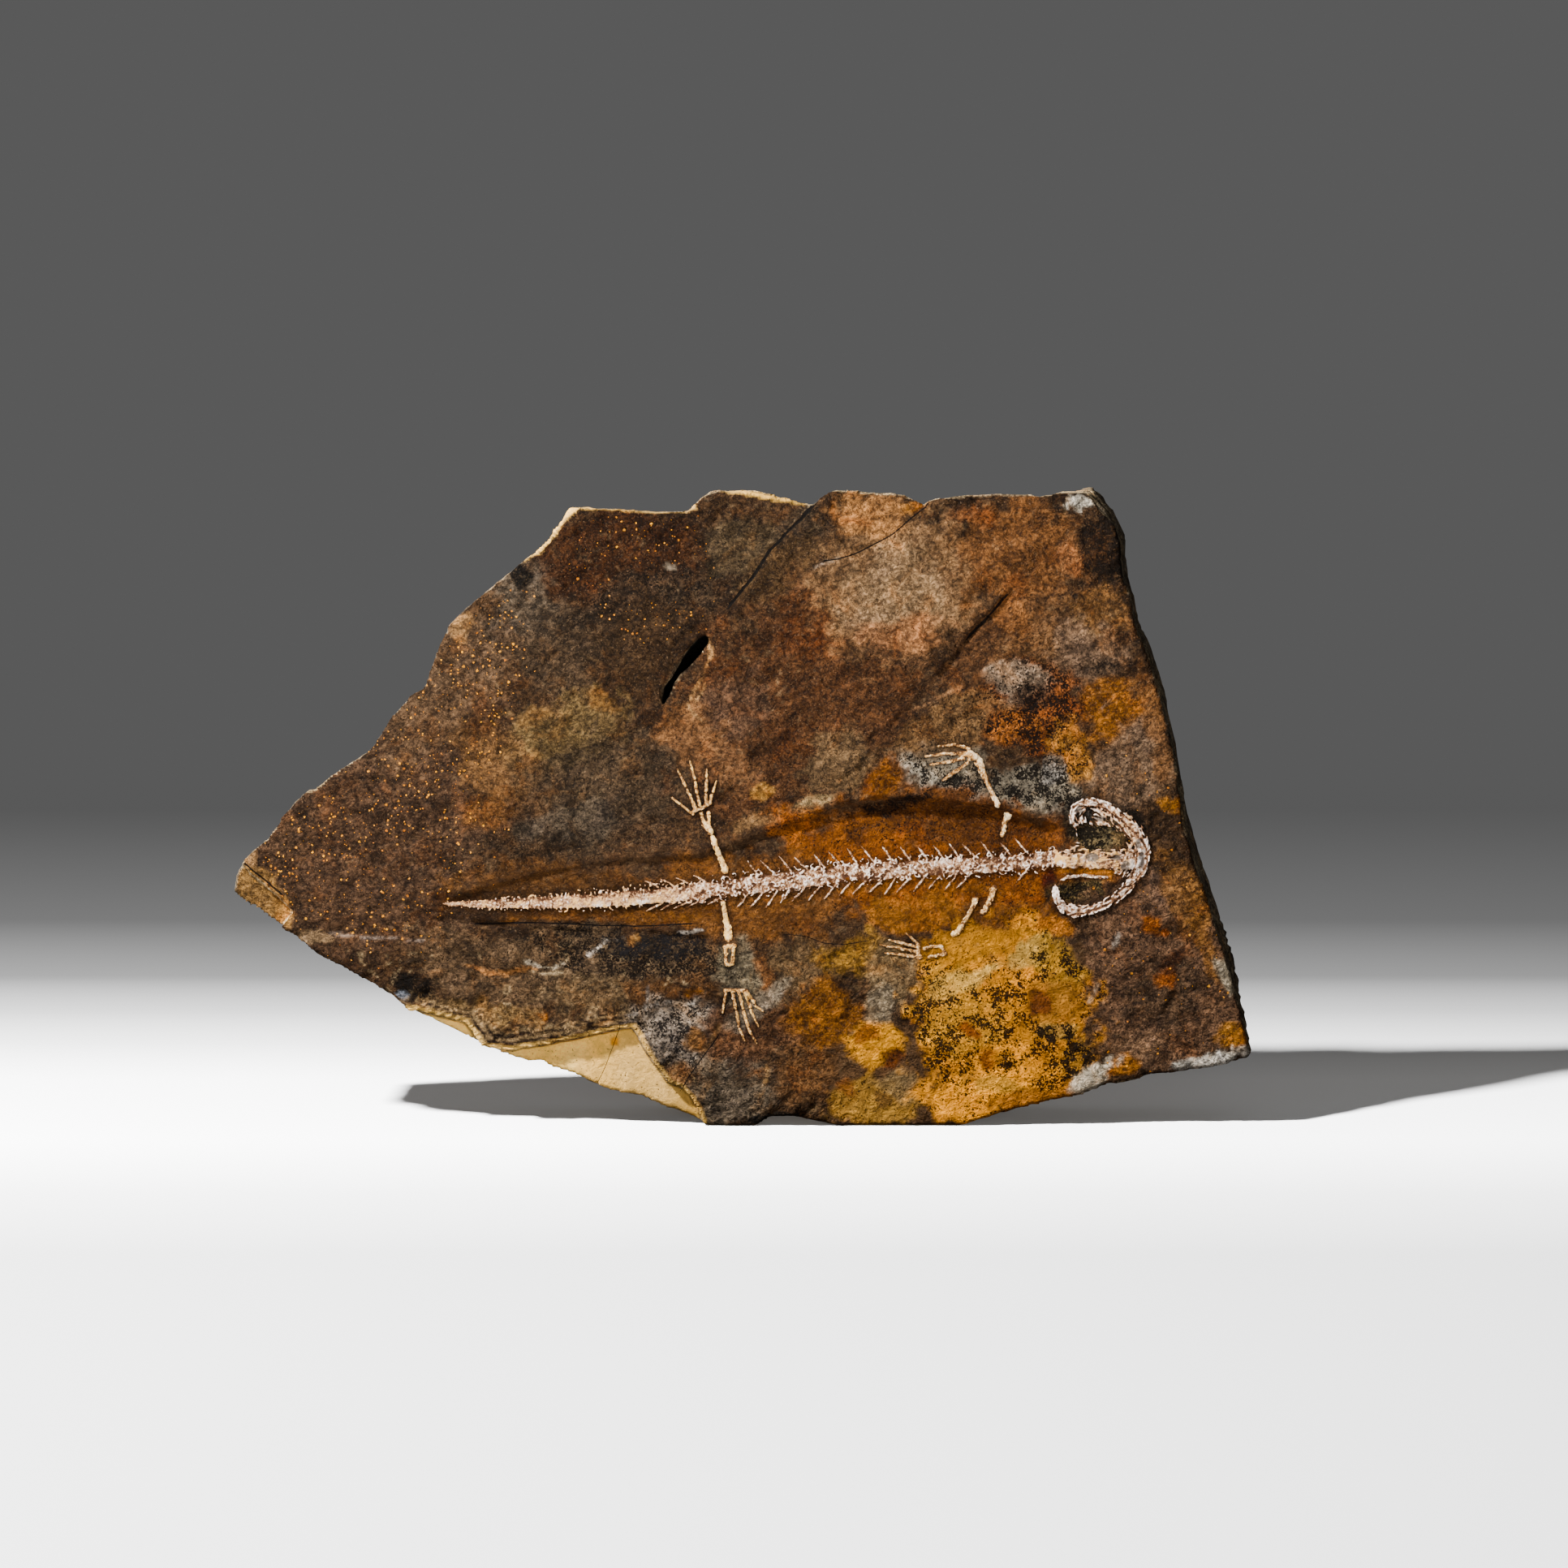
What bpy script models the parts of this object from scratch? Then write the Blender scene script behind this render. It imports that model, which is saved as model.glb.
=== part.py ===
# A fossil amphibian slab that stands on its lower edge: one natural slab of shale with a shallow hollow in its
# front, and in that hollow the skull, the spine with its ribs and the limb bones of a small amphibian.
# The lists are in millimetres as (x, z), read on the front from the middle of the foot. The front faces -Y,
# +X is to the right and +Z is up.

import bpy
import bmesh
import math
from mathutils import Vector, noise
from mathutils.bvhtree import BVHTree

for old in list(bpy.data.objects):
    bpy.data.objects.remove(old, do_unlink=True)

MM = 0.001
THICKNESS = 27.0
FRONT = -THICKNESS / 2
RIGHT_FLARE = 4.6
BACK_SETBACK = 1.2
FRONT_CELL = 5.7
BACK_CELL = 15.0
CELL_TURN = math.radians(17)
BONE_GAP = 0.3
VERTEBRAE = 36
RIB_PITCH_ABOVE = 4.12
RIB_PITCH_BELOW = 3.68
SLOT_DEPTH = 9.0

# The broken rim of the front, clockwise from the left tip. Points at z = 0 are the two feet.
RIM = [
    (-126.2, 58.0), (-125.6, 62.3), (-123.6, 66.3), (-117.4, 71.7), (-113.6, 76.8), (-108.0, 83.0),
    (-105.2, 83.4), (-101.6, 86.8), (-95.8, 90.3), (-91.6, 93.7), (-89.0, 97.7), (-86.2, 101.8),
    (-82.2, 107.0), (-78.2, 109.2), (-77.4, 112.4), (-75.4, 116.9), (-72.4, 122.1), (-72.0, 123.9),
    (-68.8, 126.9), (-64.6, 131.2), (-60.0, 134.8), (-55.6, 138.8), (-50.8, 142.3), (-47.8, 145.3),
    (-45.0, 149.5), (-42.8, 152.9), (-31.6, 152.5), (-23.6, 152.3), (-13.8, 152.1), (-13.0, 153.7),
    (-10.6, 156.0), (-7.2, 157.2), (-0.4, 157.0), (10.2, 155.4), (16.6, 153.5), (19.0, 155.6),
    (20.6, 156.6), (26.4, 157.0), (33.2, 156.0), (39.0, 155.6), (43.4, 153.5), (44.8, 154.6),
    (50.2, 155.4), (60.4, 156.0), (73.8, 156.0), (77.0, 157.2), (79.2, 158.0), (81.6, 157.4),
    (83.6, 155.6), (87.2, 151.5), (89.4, 148.7), (90.8, 144.3), (91.2, 139.8), (92.0, 135.4),
    (93.6, 130.0), (95.2, 122.5), (97.4, 117.7), (99.0, 112.8), (100.6, 107.4), (102.2, 101.4),
    (104.4, 92.3), (106.0, 82.4), (107.4, 74.0), (110.4, 64.1), (115.2, 50.4), (119.0, 38.7),
    (122.0, 26.0), (124.2, 17.5), (118.6, 15.9), (110.4, 14.1), (100.6, 12.9), (90.0, 10.5),
    (82.8, 8.1), (72.6, 5.8), (67.4, 4.4), (62.4, 3.0), (57.2, 1.4), (53.2, 0.0), (38.0, 0.0),
    (22.4, 0.0), (18.4, 1.0), (11.4, 2.6), (5.4, 2.2), (2.4, 0.0), (-9.4, 0.0), (-14.0, 1.6),
    (-17.8, 3.4), (-21.2, 4.2), (-23.0, 5.6), (-25.8, 7.1), (-31.0, 7.7), (-34.8, 8.7), (-37.2, 10.1),
    (-42.4, 12.3), (-48.4, 14.3), (-49.8, 15.5), (-55.4, 16.3), (-61.4, 18.3), (-68.8, 21.8),
    (-75.6, 25.2), (-83.0, 29.0), (-89.0, 33.4), (-95.8, 37.9), (-101.2, 40.9), (-106.0, 44.3),
    (-110.0, 47.4), (-116.0, 50.8), (-119.4, 53.2), (-124.8, 56.2),
]

# Depth of each bedding step from the front, and how far the broken edge is set back there.
BEDDING = [(0.0, 0.0), (1.4, 0.0), (6.0, 1.0), (7.0, 0.1), (13.5, 1.3), (14.8, 0.3), (21.0, 1.6), (27.0, 1.2)]

# The smooth hollow that the body has left around the bones.
HOLLOW = [
    (-74.6, 57.4), (-63.6, 61.6), (-53.6, 64.2), (-37.6, 67.2), (-23.6, 68.7), (-11.6, 69.3), (-3.6, 71.7),
    (8.4, 75.8), (16.4, 77.8), (22.4, 80.8), (32.4, 82.2), (42.4, 82.2), (50.4, 81.4), (61.4, 79.8),
    (70.4, 77.2), (76.4, 75.4), (79.4, 65.7), (76.4, 55.2), (72.4, 49.6), (61.4, 47.6), (50.4, 46.5),
    (38.4, 46.5), (28.4, 46.1), (8.4, 47.6), (-7.6, 48.6), (-25.6, 49.6), (-43.6, 50.2), (-59.6, 51.6),
    (-71.6, 53.4),
]

# The fresh pale break at the foot, carried below the rim.
PALE_BREAK = [
    (-82.2, 30.0), (-68.8, 26.6), (-64.6, 20.4), (-58.0, 19.7), (-51.8, 20.8), (-43.8, 22.4), (-37.2, 23.8),
    (-32.0, 24.8), (-27.8, 25.6), (-25.8, 22.8), (-22.6, 16.9), (-18.8, 11.3), (-15.4, 9.9), (-13.2, 7.9),
    (-11.2, 4.2), (-9.6, -4.0), (-30.0, -4.0), (-60.0, 8.0), (-84.0, 22.0),
]

# The chip off the left tip, the open slot, and the wedges where one thin bed has come off beside another.
TIP_CHIP = [(-126.5, 68.0), (-123.0, 64.6), (-114.6, 57.6), (-110.6, 53.6), (-115.6, 47.0), (-128.0, 47.0),
            (-132.0, 60.0)]
SLOT = [(-9.4, 122.6), (-8.8, 119.9), (-12.4, 115.3), (-17.0, 109.8), (-19.0, 105.8), (-21.2, 102.8),
        (-20.4, 108.6), (-16.4, 114.9), (-12.2, 120.3)]
LEFT_BED = [(17.5, 158.0), (15.6, 152.6), (10.2, 147.5), (5.6, 142.7), (1.4, 135.8), (-4.2, 129.0),
            (-9.0, 120.0), (-16.6, 110.0), (-20.6, 103.6), (-19.6, 97.9), (-17.0, 92.9), (-24.0, 89.0),
            (-46.0, 96.0), (-52.0, 116.0), (-36.0, 134.0), (-14.0, 158.0)]
LOWER_BED = [(-78.0, 52.6), (-71.6, 53.0), (-59.6, 51.4), (-43.6, 50.0), (-25.6, 49.4), (-8.0, 48.3),
             (-9.0, 38.0), (-13.0, 28.0), (-30.0, 28.0), (-60.0, 30.0), (-80.0, 38.0)]
RIGHT_BED = [(65.0, 133.5), (63.4, 131.4), (60.2, 126.9), (56.2, 122.9), (52.8, 118.1), (47.4, 110.6),
             (41.0, 104.6), (54.0, 98.0), (70.0, 106.0), (76.0, 124.0)]

# The spine from the tail tip to the neck as (x, z, width).
SPINE = [
    (-74.0, 55.4, 0.7), (-63.6, 55.2, 2.2), (-51.6, 55.6, 3.7), (-39.6, 56.3, 4.4), (-27.6, 57.2, 5.4),
    (-13.6, 58.5, 5.8), (-3.6, 59.7, 5.4), (8.4, 61.1, 6.2), (24.4, 63.1, 5.5), (36.4, 63.9, 5.3),
    (46.4, 64.5, 5.0), (64.4, 65.5, 5.4), (76.0, 66.8, 5.0),
]

# The other bones, each as strokes of (x, z, width).
SKULL = [
    [(79.2, 74.6, 1.4), (78.9, 77.2, 1.9), (80.8, 79.6, 2.2), (83.2, 80.6, 2.2), (85.6, 80.6, 2.2),
     (87.8, 80.0, 2.2), (90.8, 78.0, 2.4), (93.2, 75.9, 2.5), (95.6, 73.8, 2.6), (97.2, 71.6, 2.6),
     (98.2, 69.3, 2.6), (98.6, 66.5, 2.6), (98.2, 63.8, 2.5), (97.0, 61.3, 2.5), (95.0, 59.1, 2.4),
     (92.3, 57.2, 2.4), (89.4, 55.6, 2.3), (85.9, 54.0, 2.3), (82.0, 52.8, 2.3), (78.7, 52.6, 2.2),
     (77.0, 54.6, 2.1), (75.6, 57.8, 2.0), (76.4, 60.0, 1.2)],
    [(77.4, 67.1, 4.8), (84.0, 67.1, 4.4), (90.0, 67.0, 4.8), (93.5, 66.9, 8.4), (96.5, 66.8, 10.5),
     (98.0, 66.7, 8.5)],
    [(77.4, 62.5, 1.0), (83.0, 62.6, 1.2), (88.4, 62.4, 1.3), (93.5, 62.6, 2.2)],
]
LIMBS = {
    "shoulder_bone_upper": [[(64.0, 77.8, 2.6), (63.7, 76.2, 1.8), (63.4, 75.2, 1.5), (62.9, 72.9, 1.8)]],
    "humerus_upper": [[(57.4, 89.6, 1.9), (58.6, 86.9, 1.5), (60.2, 83.2, 1.7), (61.3, 80.6, 2.2)]],
    "hand_upper": [
        [(56.4, 91.8, 2.4), (53.6, 92.0, 3.6), (52.4, 92.2, 2.6)],
        [(54.0, 93.6, 0.9), (50.6, 94.6, 0.9), (46.8, 94.5, 0.7)],
        [(53.4, 92.7, 0.9), (48.5, 92.7, 0.9), (43.9, 92.1, 0.7)],
        [(53.2, 91.6, 0.9), (49.0, 90.8, 0.9), (45.0, 90.0, 0.7)],
        [(54.2, 91.2, 0.9), (51.0, 88.6, 1.0), (48.2, 86.4, 0.7)],
    ],
    "shoulder_bone_lower": [[(60.6, 59.4, 2.3), (59.9, 57.4, 1.9), (59.3, 55.6, 1.7), (58.2, 53.4, 2.4)]],
    "humerus_lower": [[(56.0, 56.6, 1.9), (54.9, 54.2, 1.5), (53.0, 50.8, 1.5), (51.4, 48.3, 2.5)]],
    "forearm_lower": [
        [(43.6, 44.5, 0.9), (46.0, 44.9, 0.9), (48.2, 45.0, 1.1)],
        [(44.8, 42.3, 0.9), (47.0, 42.7, 0.9), (49.0, 43.2, 1.1)],
        [(48.0, 45.0, 1.1), (48.7, 43.1, 1.1)],
    ],
    "hand_lower": [
        [(42.1, 45.3, 1.5), (42.2, 43.4, 2.2), (42.3, 42.0, 1.3)],
        [(41.9, 45.4, 0.9), (40.4, 46.7, 0.8), (39.2, 48.0, 0.6)],
        [(42.0, 44.7, 0.9), (38.5, 45.7, 0.9), (35.0, 46.5, 0.6)],
        [(42.0, 43.4, 0.9), (37.4, 44.5, 0.9), (32.8, 45.4, 0.6)],
        [(42.2, 42.0, 0.9), (38.0, 42.6, 0.9), (33.9, 43.4, 0.6)],
    ],
    "femur_upper": [[(-5.4, 64.0, 2.7), (-6.4, 66.6, 2.0), (-7.3, 69.6, 1.8), (-7.9, 72.0, 1.9)]],
    "shin_upper": [
        [(-8.9, 73.8, 2.2), (-9.5, 75.0, 2.6), (-10.2, 76.2, 2.2)],
        [(-9.8, 75.0, 1.0), (-10.8, 76.8, 0.9), (-11.2, 77.8, 1.0)],
        [(-9.2, 75.0, 1.0), (-9.2, 76.8, 0.9), (-9.2, 78.2, 1.0)],
    ],
    "foot_upper": [
        [(-13.0, 79.3, 1.3), (-11.2, 79.8, 1.5), (-9.2, 80.3, 1.2)],
        [(-13.0, 78.9, 0.9), (-15.7, 80.4, 0.8), (-18.2, 82.0, 0.6)],
        [(-12.4, 79.4, 0.9), (-14.6, 84.0, 0.9), (-17.0, 88.9, 0.6)],
        [(-11.6, 79.8, 0.9), (-12.4, 85.6, 0.9), (-13.8, 90.9, 0.6)],
        [(-10.2, 79.9, 0.9), (-10.0, 84.9, 0.9), (-9.8, 88.9, 0.6)],
        [(-9.2, 80.2, 0.9), (-8.4, 83.2, 0.8), (-7.4, 86.2, 0.6)],
    ],
    "femur_lower": [[(-5.7, 56.0, 1.5), (-5.4, 53.4, 1.6), (-4.9, 49.8, 2.3), (-4.6, 47.0, 2.9)]],
    "shin_lower": [
        [(-5.2, 45.2, 1.4), (-4.1, 45.5, 1.8), (-3.0, 45.4, 1.4)],
        [(-5.1, 44.9, 1.3), (-5.1, 42.7, 1.0), (-5.0, 40.6, 1.2)],
        [(-3.1, 45.1, 1.2), (-3.3, 42.9, 1.0), (-3.6, 40.8, 1.2)],
        [(-5.0, 40.6, 1.0), (-3.6, 40.6, 1.0)],
    ],
    "foot_lower": [
        [(-5.6, 33.9, 1.2), (-2.8, 33.8, 1.5), (0.4, 33.6, 1.2)],
        [(-5.2, 33.9, 0.9), (-5.6, 31.0, 0.8), (-6.0, 28.3, 0.6)],
        [(-3.5, 33.7, 0.9), (-2.8, 29.2, 0.9), (-2.0, 25.2, 0.8), (-0.6, 21.4, 0.6)],
        [(-2.0, 33.7, 0.9), (-1.1, 29.2, 0.9), (0.4, 24.6, 0.8), (2.4, 20.9, 0.6)],
        [(-0.6, 33.6, 0.9), (1.0, 29.0, 0.9), (2.8, 25.0, 0.6)],
        [(0.2, 33.6, 0.9), (2.0, 30.6, 0.9), (4.0, 28.8, 0.6)],
    ],
}

part = bpy.data.collections.new("fossil_amphibian_slab")
cutters = bpy.data.collections.new("cutters")
bpy.context.scene.collection.children.link(part)
bpy.context.scene.collection.children.link(cutters)
centre = bpy.data.objects.new("centre_of_foot", None)
part.objects.link(centre)


def spot(x, y, z):
    return Vector((x * MM, y * MM, z * MM))


def material(name, colour, roughness):
    made = bpy.data.materials.new(name)
    made.use_nodes = True
    shader = made.node_tree.nodes["Principled BSDF"]
    shader.inputs["Base Color"].default_value = (*colour, 1)
    shader.inputs["Roughness"].default_value = roughness
    shader.inputs["Metallic"].default_value = 0.0
    return made


def add_object(name, bm, collection, stuff=None):
    # The object's origin goes to the middle of its own points.
    bmesh.ops.recalc_face_normals(bm, faces=bm.faces)
    middle = sum((v.co for v in bm.verts), Vector()) / len(bm.verts)
    bmesh.ops.translate(bm, verts=bm.verts, vec=-middle)
    mesh = bpy.data.meshes.new(name)
    bm.to_mesh(mesh)
    bm.free()
    made = bpy.data.objects.new(name, mesh)
    made.location = middle
    made.parent = centre
    collection.objects.link(made)
    if stuff:
        mesh.materials.append(stuff)
    if collection is cutters:
        made.hide_render = True
        made.display_type = 'WIRE'
    return made


def boolean(target, other, operation):
    step = target.modifiers.new(operation.lower() + "_" + other.name, 'BOOLEAN')
    step.operation = operation
    step.solver = 'EXACT'
    step.object = other


def loft(bm, rings):
    # Closed body through rings of equal length, with a flat cap at each end.
    loops = [[bm.verts.new(p) for p in ring] for ring in rings]
    count = len(loops[0])
    for near, far in zip(loops, loops[1:]):
        for i in range(count):
            j = (i + 1) % count
            bm.faces.new((near[i], near[j], far[j], far[i]))
    bm.faces.new(reversed(loops[0]))
    bm.faces.new(loops[-1])


def outward(outline, i):
    # Normal of a clockwise outline at point i, away from its inside.
    before = Vector(outline[i - 1])
    after = Vector(outline[(i + 1) % len(outline)])
    along = (after - before).normalized()
    return Vector((-along.y, along.x))


def broken_edge(i, depth, setback):
    # One rim point at this depth in the slab. The right side flares towards the back, the feet stay flat.
    x, z = RIM[i]
    away = outward(RIM, i)
    rough = abs(noise.noise(Vector((x * 0.09, z * 0.09, depth * 0.35))))
    out = -setback - 0.7 * rough * min(1, depth / 3)
    if away.x > 0.6:
        out = 0.45 * out + RIGHT_FLARE * depth / THICKNESS
    elif z > 0 and away.y > 0.5:
        out -= BACK_SETBACK * depth / THICKNESS
    if z == 0:
        return spot(x, FRONT + depth, 0)
    return spot(x + out * away.x, FRONT + depth, max(0.4, z + out * away.y))


def cut_cells(bm, level, cell):
    # A grid of cuts over the flat face at this level only, turned so that it follows no edge.
    for turn in (CELL_TURN, CELL_TURN + math.pi / 2):
        normal = Vector((math.cos(turn), 0, math.sin(turn)))
        reach = -200.0
        while reach < 260.0:
            faces = [f for f in bm.faces if all(abs(v.co.y - level * MM) < 1e-7 for v in f.verts)]
            edges = list({e for f in faces for e in f.edges})
            verts = list({v for f in faces for v in f.verts})
            bmesh.ops.bisect_plane(bm, geom=verts + edges + faces, dist=0.00002,
                                   plane_co=normal * reach * MM, plane_no=normal)
            reach += cell


def relief(x, z):
    # Low swells of the front bed, in millimetres towards the viewer.
    swell = 0.75 * noise.noise(Vector((x / 30, z / 30, 3.1)))
    return swell + 0.35 * noise.noise(Vector((x / 10, z / 10, 8.4)))


def slab_body():
    bm = bmesh.new()
    rings = [[broken_edge(i, depth, setback) for i in range(len(RIM))] for depth, setback in BEDDING]
    loft(bm, rings)
    for level, cell, side in ((FRONT, FRONT_CELL, -1), (FRONT + THICKNESS, BACK_CELL, 1)):
        cut_cells(bm, level, cell)
        for v in bm.verts:
            if abs(v.co.y - level * MM) > 1e-7 or any(abs(f.normal.y) < 0.7 for f in v.link_faces):
                continue
            x, z = v.co.x / MM, v.co.z / MM
            height = relief(x, z) if side < 0 else 1.1 * noise.noise(Vector((x / 22, z / 22, 15.0))) - 0.9
            v.co.y += side * height * MM
            v.co.x += 0.16 * cell * noise.noise(Vector((x, z, 4.2))) * MM
            v.co.z += 0.16 * cell * noise.noise(Vector((x, z, 7.7))) * MM
    bmesh.ops.remove_doubles(bm, verts=bm.verts, dist=0.0001)
    bmesh.ops.triangulate(bm, faces=bm.faces)
    return bm


def pocket(name, outline, depth, slope, lean=(0, 0), anchor=(0, 0)):
    # A cutter whose flat floor lies at this depth, leaning with x and z, and whose walls slope.
    def floor(x, z):
        return depth + lean[0] * (x - anchor[0]) + lean[1] * (z - anchor[1])
    mouth = [spot(x, FRONT - 4, z) for x, z in outline]
    lip = [spot(x, FRONT - 1, z) for x, z in outline]
    base = []
    for i, (x, z) in enumerate(outline):
        away = outward(outline, i)
        inside_x = x - slope * away.x
        inside_z = z - slope * away.y
        base.append(spot(inside_x, FRONT + floor(inside_x, inside_z), inside_z))
    bm = bmesh.new()
    loft(bm, [mouth, lip, base])
    return add_object(name, bm, cutters)


def finer(points, longest=4.0):
    # The same line with more points, so that it can follow the stone.
    out = [points[0]]
    for a, b in zip(points, points[1:]):
        parts = max(1, math.ceil(math.dist(a[:2], b[:2]) / longest))
        for k in range(1, parts + 1):
            out.append(tuple(p + (q - p) * k / parts for p, q in zip(a, b)))
    return out


def stroke(bm, points, sides, rise):
    # One bone: an oval tube that lies half in the stone, with blunt ends.
    points = finer(points)
    rings = []
    for i, (x, z, width) in enumerate(points):
        ahead = Vector(points[min(i + 1, len(points) - 1)][:2])
        along = (ahead - Vector(points[max(i - 1, 0)][:2])).normalized()
        across = Vector((-along.y, along.x))
        level = stone_face(x, z)
        ring = []
        for k in range(sides):
            angle = 2 * math.pi * (k + 0.5) / sides
            reach = across * math.cos(angle) * width / 2
            ring.append(spot(x + reach.x, level + rise * math.sin(angle), z + reach.y))
        rings.append(ring)
    loft(bm, rings)


def stone_face(x, z):
    # Where the finished front lies behind this point, in millimetres.
    hit = stone.ray_cast(spot(x, -60, z) - slab.location, Vector((0, 1, 0)))[0]
    return (hit.y + slab.location.y) / MM


def along_spine(share):
    # Point and width at this share of the spine's length, measured by x.
    x = SPINE[0][0] + share * (SPINE[-1][0] - SPINE[0][0])
    for a, b in zip(SPINE, SPINE[1:]):
        if a[0] <= x <= b[0]:
            t = (x - a[0]) / (b[0] - a[0])
            return x, a[1] + t * (b[1] - a[1]), a[2] + t * (b[2] - a[2])
    return SPINE[-1]


def bone_node(name, strokes, stuff, sides, rise):
    # The first stroke becomes the bone and the others are joined to it, then the stone is taken away.
    bm = bmesh.new()
    stroke(bm, strokes[0], sides, rise)
    bone = add_object(name, bm, part, stuff)
    for number, points in enumerate(strokes[1:], 1):
        bm = bmesh.new()
        stroke(bm, points, sides, rise)
        boolean(bone, add_object(f"{name}_join_{number}", bm, cutters), 'UNION')
    boolean(bone, bed_for_bones, 'DIFFERENCE')
    return bone


shale = material("brown_shale", (0.16, 0.09, 0.05), 0.85)
white_bone = material("white_bone", (0.62, 0.55, 0.48), 0.75)
cream_bone = material("cream_bone", (0.62, 0.48, 0.31), 0.7)

slab = add_object("matrix_slab", slab_body(), part, shale)
for cutter in (
    pocket("left_bed_cut", LEFT_BED, 0.9, 0.6, (0.034, 0), (-4, 120)),
    pocket("lower_bed_cut", LOWER_BED, 1.2, 0.8, (0.018, 0.085), (-30, 50)),
    pocket("right_bed_cut", RIGHT_BED, 0.7, 0.7, (-0.045, 0.03), (53, 118)),
    pocket("hollow_cut", HOLLOW, 1.05, 1.8, (0.0014, 0.04), (0, 66)),
    pocket("slot_cut", SLOT, SLOT_DEPTH, 0.35),
    pocket("pale_break_cut", PALE_BREAK, 3.0, 1.0, (0, -0.02), (0, 15)),
    pocket("tip_chip_cut", TIP_CHIP, 2.2, 0.9),
):
    boolean(slab, cutter, 'DIFFERENCE')

bpy.context.view_layer.update()
graph = bpy.context.evaluated_depsgraph_get()
stone = BVHTree.FromObject(slab, graph)
copy = bpy.data.meshes.new_from_object(slab.evaluated_get(graph))
bed_for_bones = bpy.data.objects.new("bed_for_bones", copy)
bed_for_bones.location = slab.location + spot(0, -BONE_GAP, 0)
bed_for_bones.parent = centre
bed_for_bones.hide_render = True
bed_for_bones.display_type = 'WIRE'
cutters.objects.link(bed_for_bones)

# The spine is one string of vertebrae, each with a waist, and the ribs grow out of it above and below.
column = []
for number in range(VERTEBRAE):
    for share, fullness in ((0.0, 0.74), (0.5, 1.04)):
        x, z, width = along_spine((number + share) / VERTEBRAE)
        column.append((x, z, width * fullness))
bm = bmesh.new()
stroke(bm, column, 8, 1.35)
spine = add_object("vertebral_column", bm, part, white_bone)
ribs = bmesh.new()
for pitch, first, last, side in ((RIB_PITCH_ABOVE, -24.0, 69.5, 1), (RIB_PITCH_BELOW, -19.0, 69.5, -1)):
    at = first
    while at <= last:
        number = round((at - first) / pitch)
        x, z, width = along_spine((at - SPINE[0][0]) / (SPINE[-1][0] - SPINE[0][0]))
        beside_limb = -9.6 < at < -1.2 if side > 0 else -6.0 < at < -1.6 or 59.0 < at < 65.0
        grown = 0.62 if at < -2 else 1.0
        length = (4.7 + 0.6 * math.sin(number * 2.4)) * grown
        lean = 3.0 * grown + 0.3 * math.sin(number * 1.7)
        if not beside_limb:
            base_z = z + side * width * 0.3
            tip_z = z + side * (width * 0.5 + length * 0.62)
            stroke(ribs, [(x, base_z, 1.0), (x - lean, tip_z, 0.5)], 5, 0.72)
        at += pitch
boolean(spine, add_object("ribs_join", ribs, cutters), 'UNION')
boolean(spine, bed_for_bones, 'DIFFERENCE')

bone_node("skull", SKULL, white_bone, 8, 1.1)
for name, strokes in LIMBS.items():
    thin = name.startswith(("hand", "foot", "forearm", "shin"))
    bone_node(name, strokes, cream_bone, 6 if thin else 8, 0.8 if thin else 1.1)

# The box round the whole object is centred over the origin, with the feet at z = 0.
bpy.context.view_layer.update()
graph = bpy.context.evaluated_depsgraph_get()
corners = []
for made in part.objects:
    if made.type == 'MESH':
        shape = made.evaluated_get(graph)
        corners += [made.matrix_world @ v.co for v in shape.data.vertices]
xs = [p.x for p in corners]
ys = [p.y for p in corners]
zs = [p.z for p in corners]
centre.location = (-(min(xs) + max(xs)) / 2, -(min(ys) + max(ys)) / 2, -min(zs))
bpy.context.view_layer.update()
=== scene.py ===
import math
from functools import partial
import bpy
import bmesh
import numpy as np
from mathutils import Matrix, Vector
from mathutils.bvhtree import BVHTree


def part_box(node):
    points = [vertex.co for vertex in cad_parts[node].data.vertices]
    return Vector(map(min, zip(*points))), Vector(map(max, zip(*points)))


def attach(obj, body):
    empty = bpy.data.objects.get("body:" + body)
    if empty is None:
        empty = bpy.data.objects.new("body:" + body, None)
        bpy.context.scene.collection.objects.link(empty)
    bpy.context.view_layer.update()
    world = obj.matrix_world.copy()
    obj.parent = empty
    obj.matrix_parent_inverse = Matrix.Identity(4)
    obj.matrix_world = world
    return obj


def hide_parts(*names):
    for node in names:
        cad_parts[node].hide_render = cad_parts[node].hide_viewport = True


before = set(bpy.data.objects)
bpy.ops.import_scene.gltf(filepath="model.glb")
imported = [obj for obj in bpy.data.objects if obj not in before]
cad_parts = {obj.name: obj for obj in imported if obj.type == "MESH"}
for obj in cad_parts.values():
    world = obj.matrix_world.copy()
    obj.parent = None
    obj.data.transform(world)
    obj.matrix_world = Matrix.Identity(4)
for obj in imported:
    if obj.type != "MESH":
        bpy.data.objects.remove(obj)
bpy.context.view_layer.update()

mm = 0.001
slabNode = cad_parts["matrix_slab"]
slabLow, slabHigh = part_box("matrix_slab")
shiftX = slabLow[0] + 126.2 * mm  # the left tip lies 126.2 mm left of the foot's middle
# the foot's front edge is on the front
frontY = min(v.co.y for v in slabNode.data.vertices if v.co.z < 0.01 * mm)

# the drawing of the front: mm in a unit across and up, the foot's middle, and the line of the ground
unitAcross, unitUp = 0.2, 0.2015
footMiddle, groundLine = 918, 1386
farAway = 1e9


def place(u, v):
    # a reading on the drawing as x and z in metres
    return shiftX + (u - footMiddle) * unitAcross * mm, (groundLine - v) * unitUp * mm


def reading(points):
    # points in metres as readings on the drawing
    return (points[:, 0] - shiftX) / (unitAcross * mm) + footMiddle, groundLine - points[:, 2] / (unitUp * mm)


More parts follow.
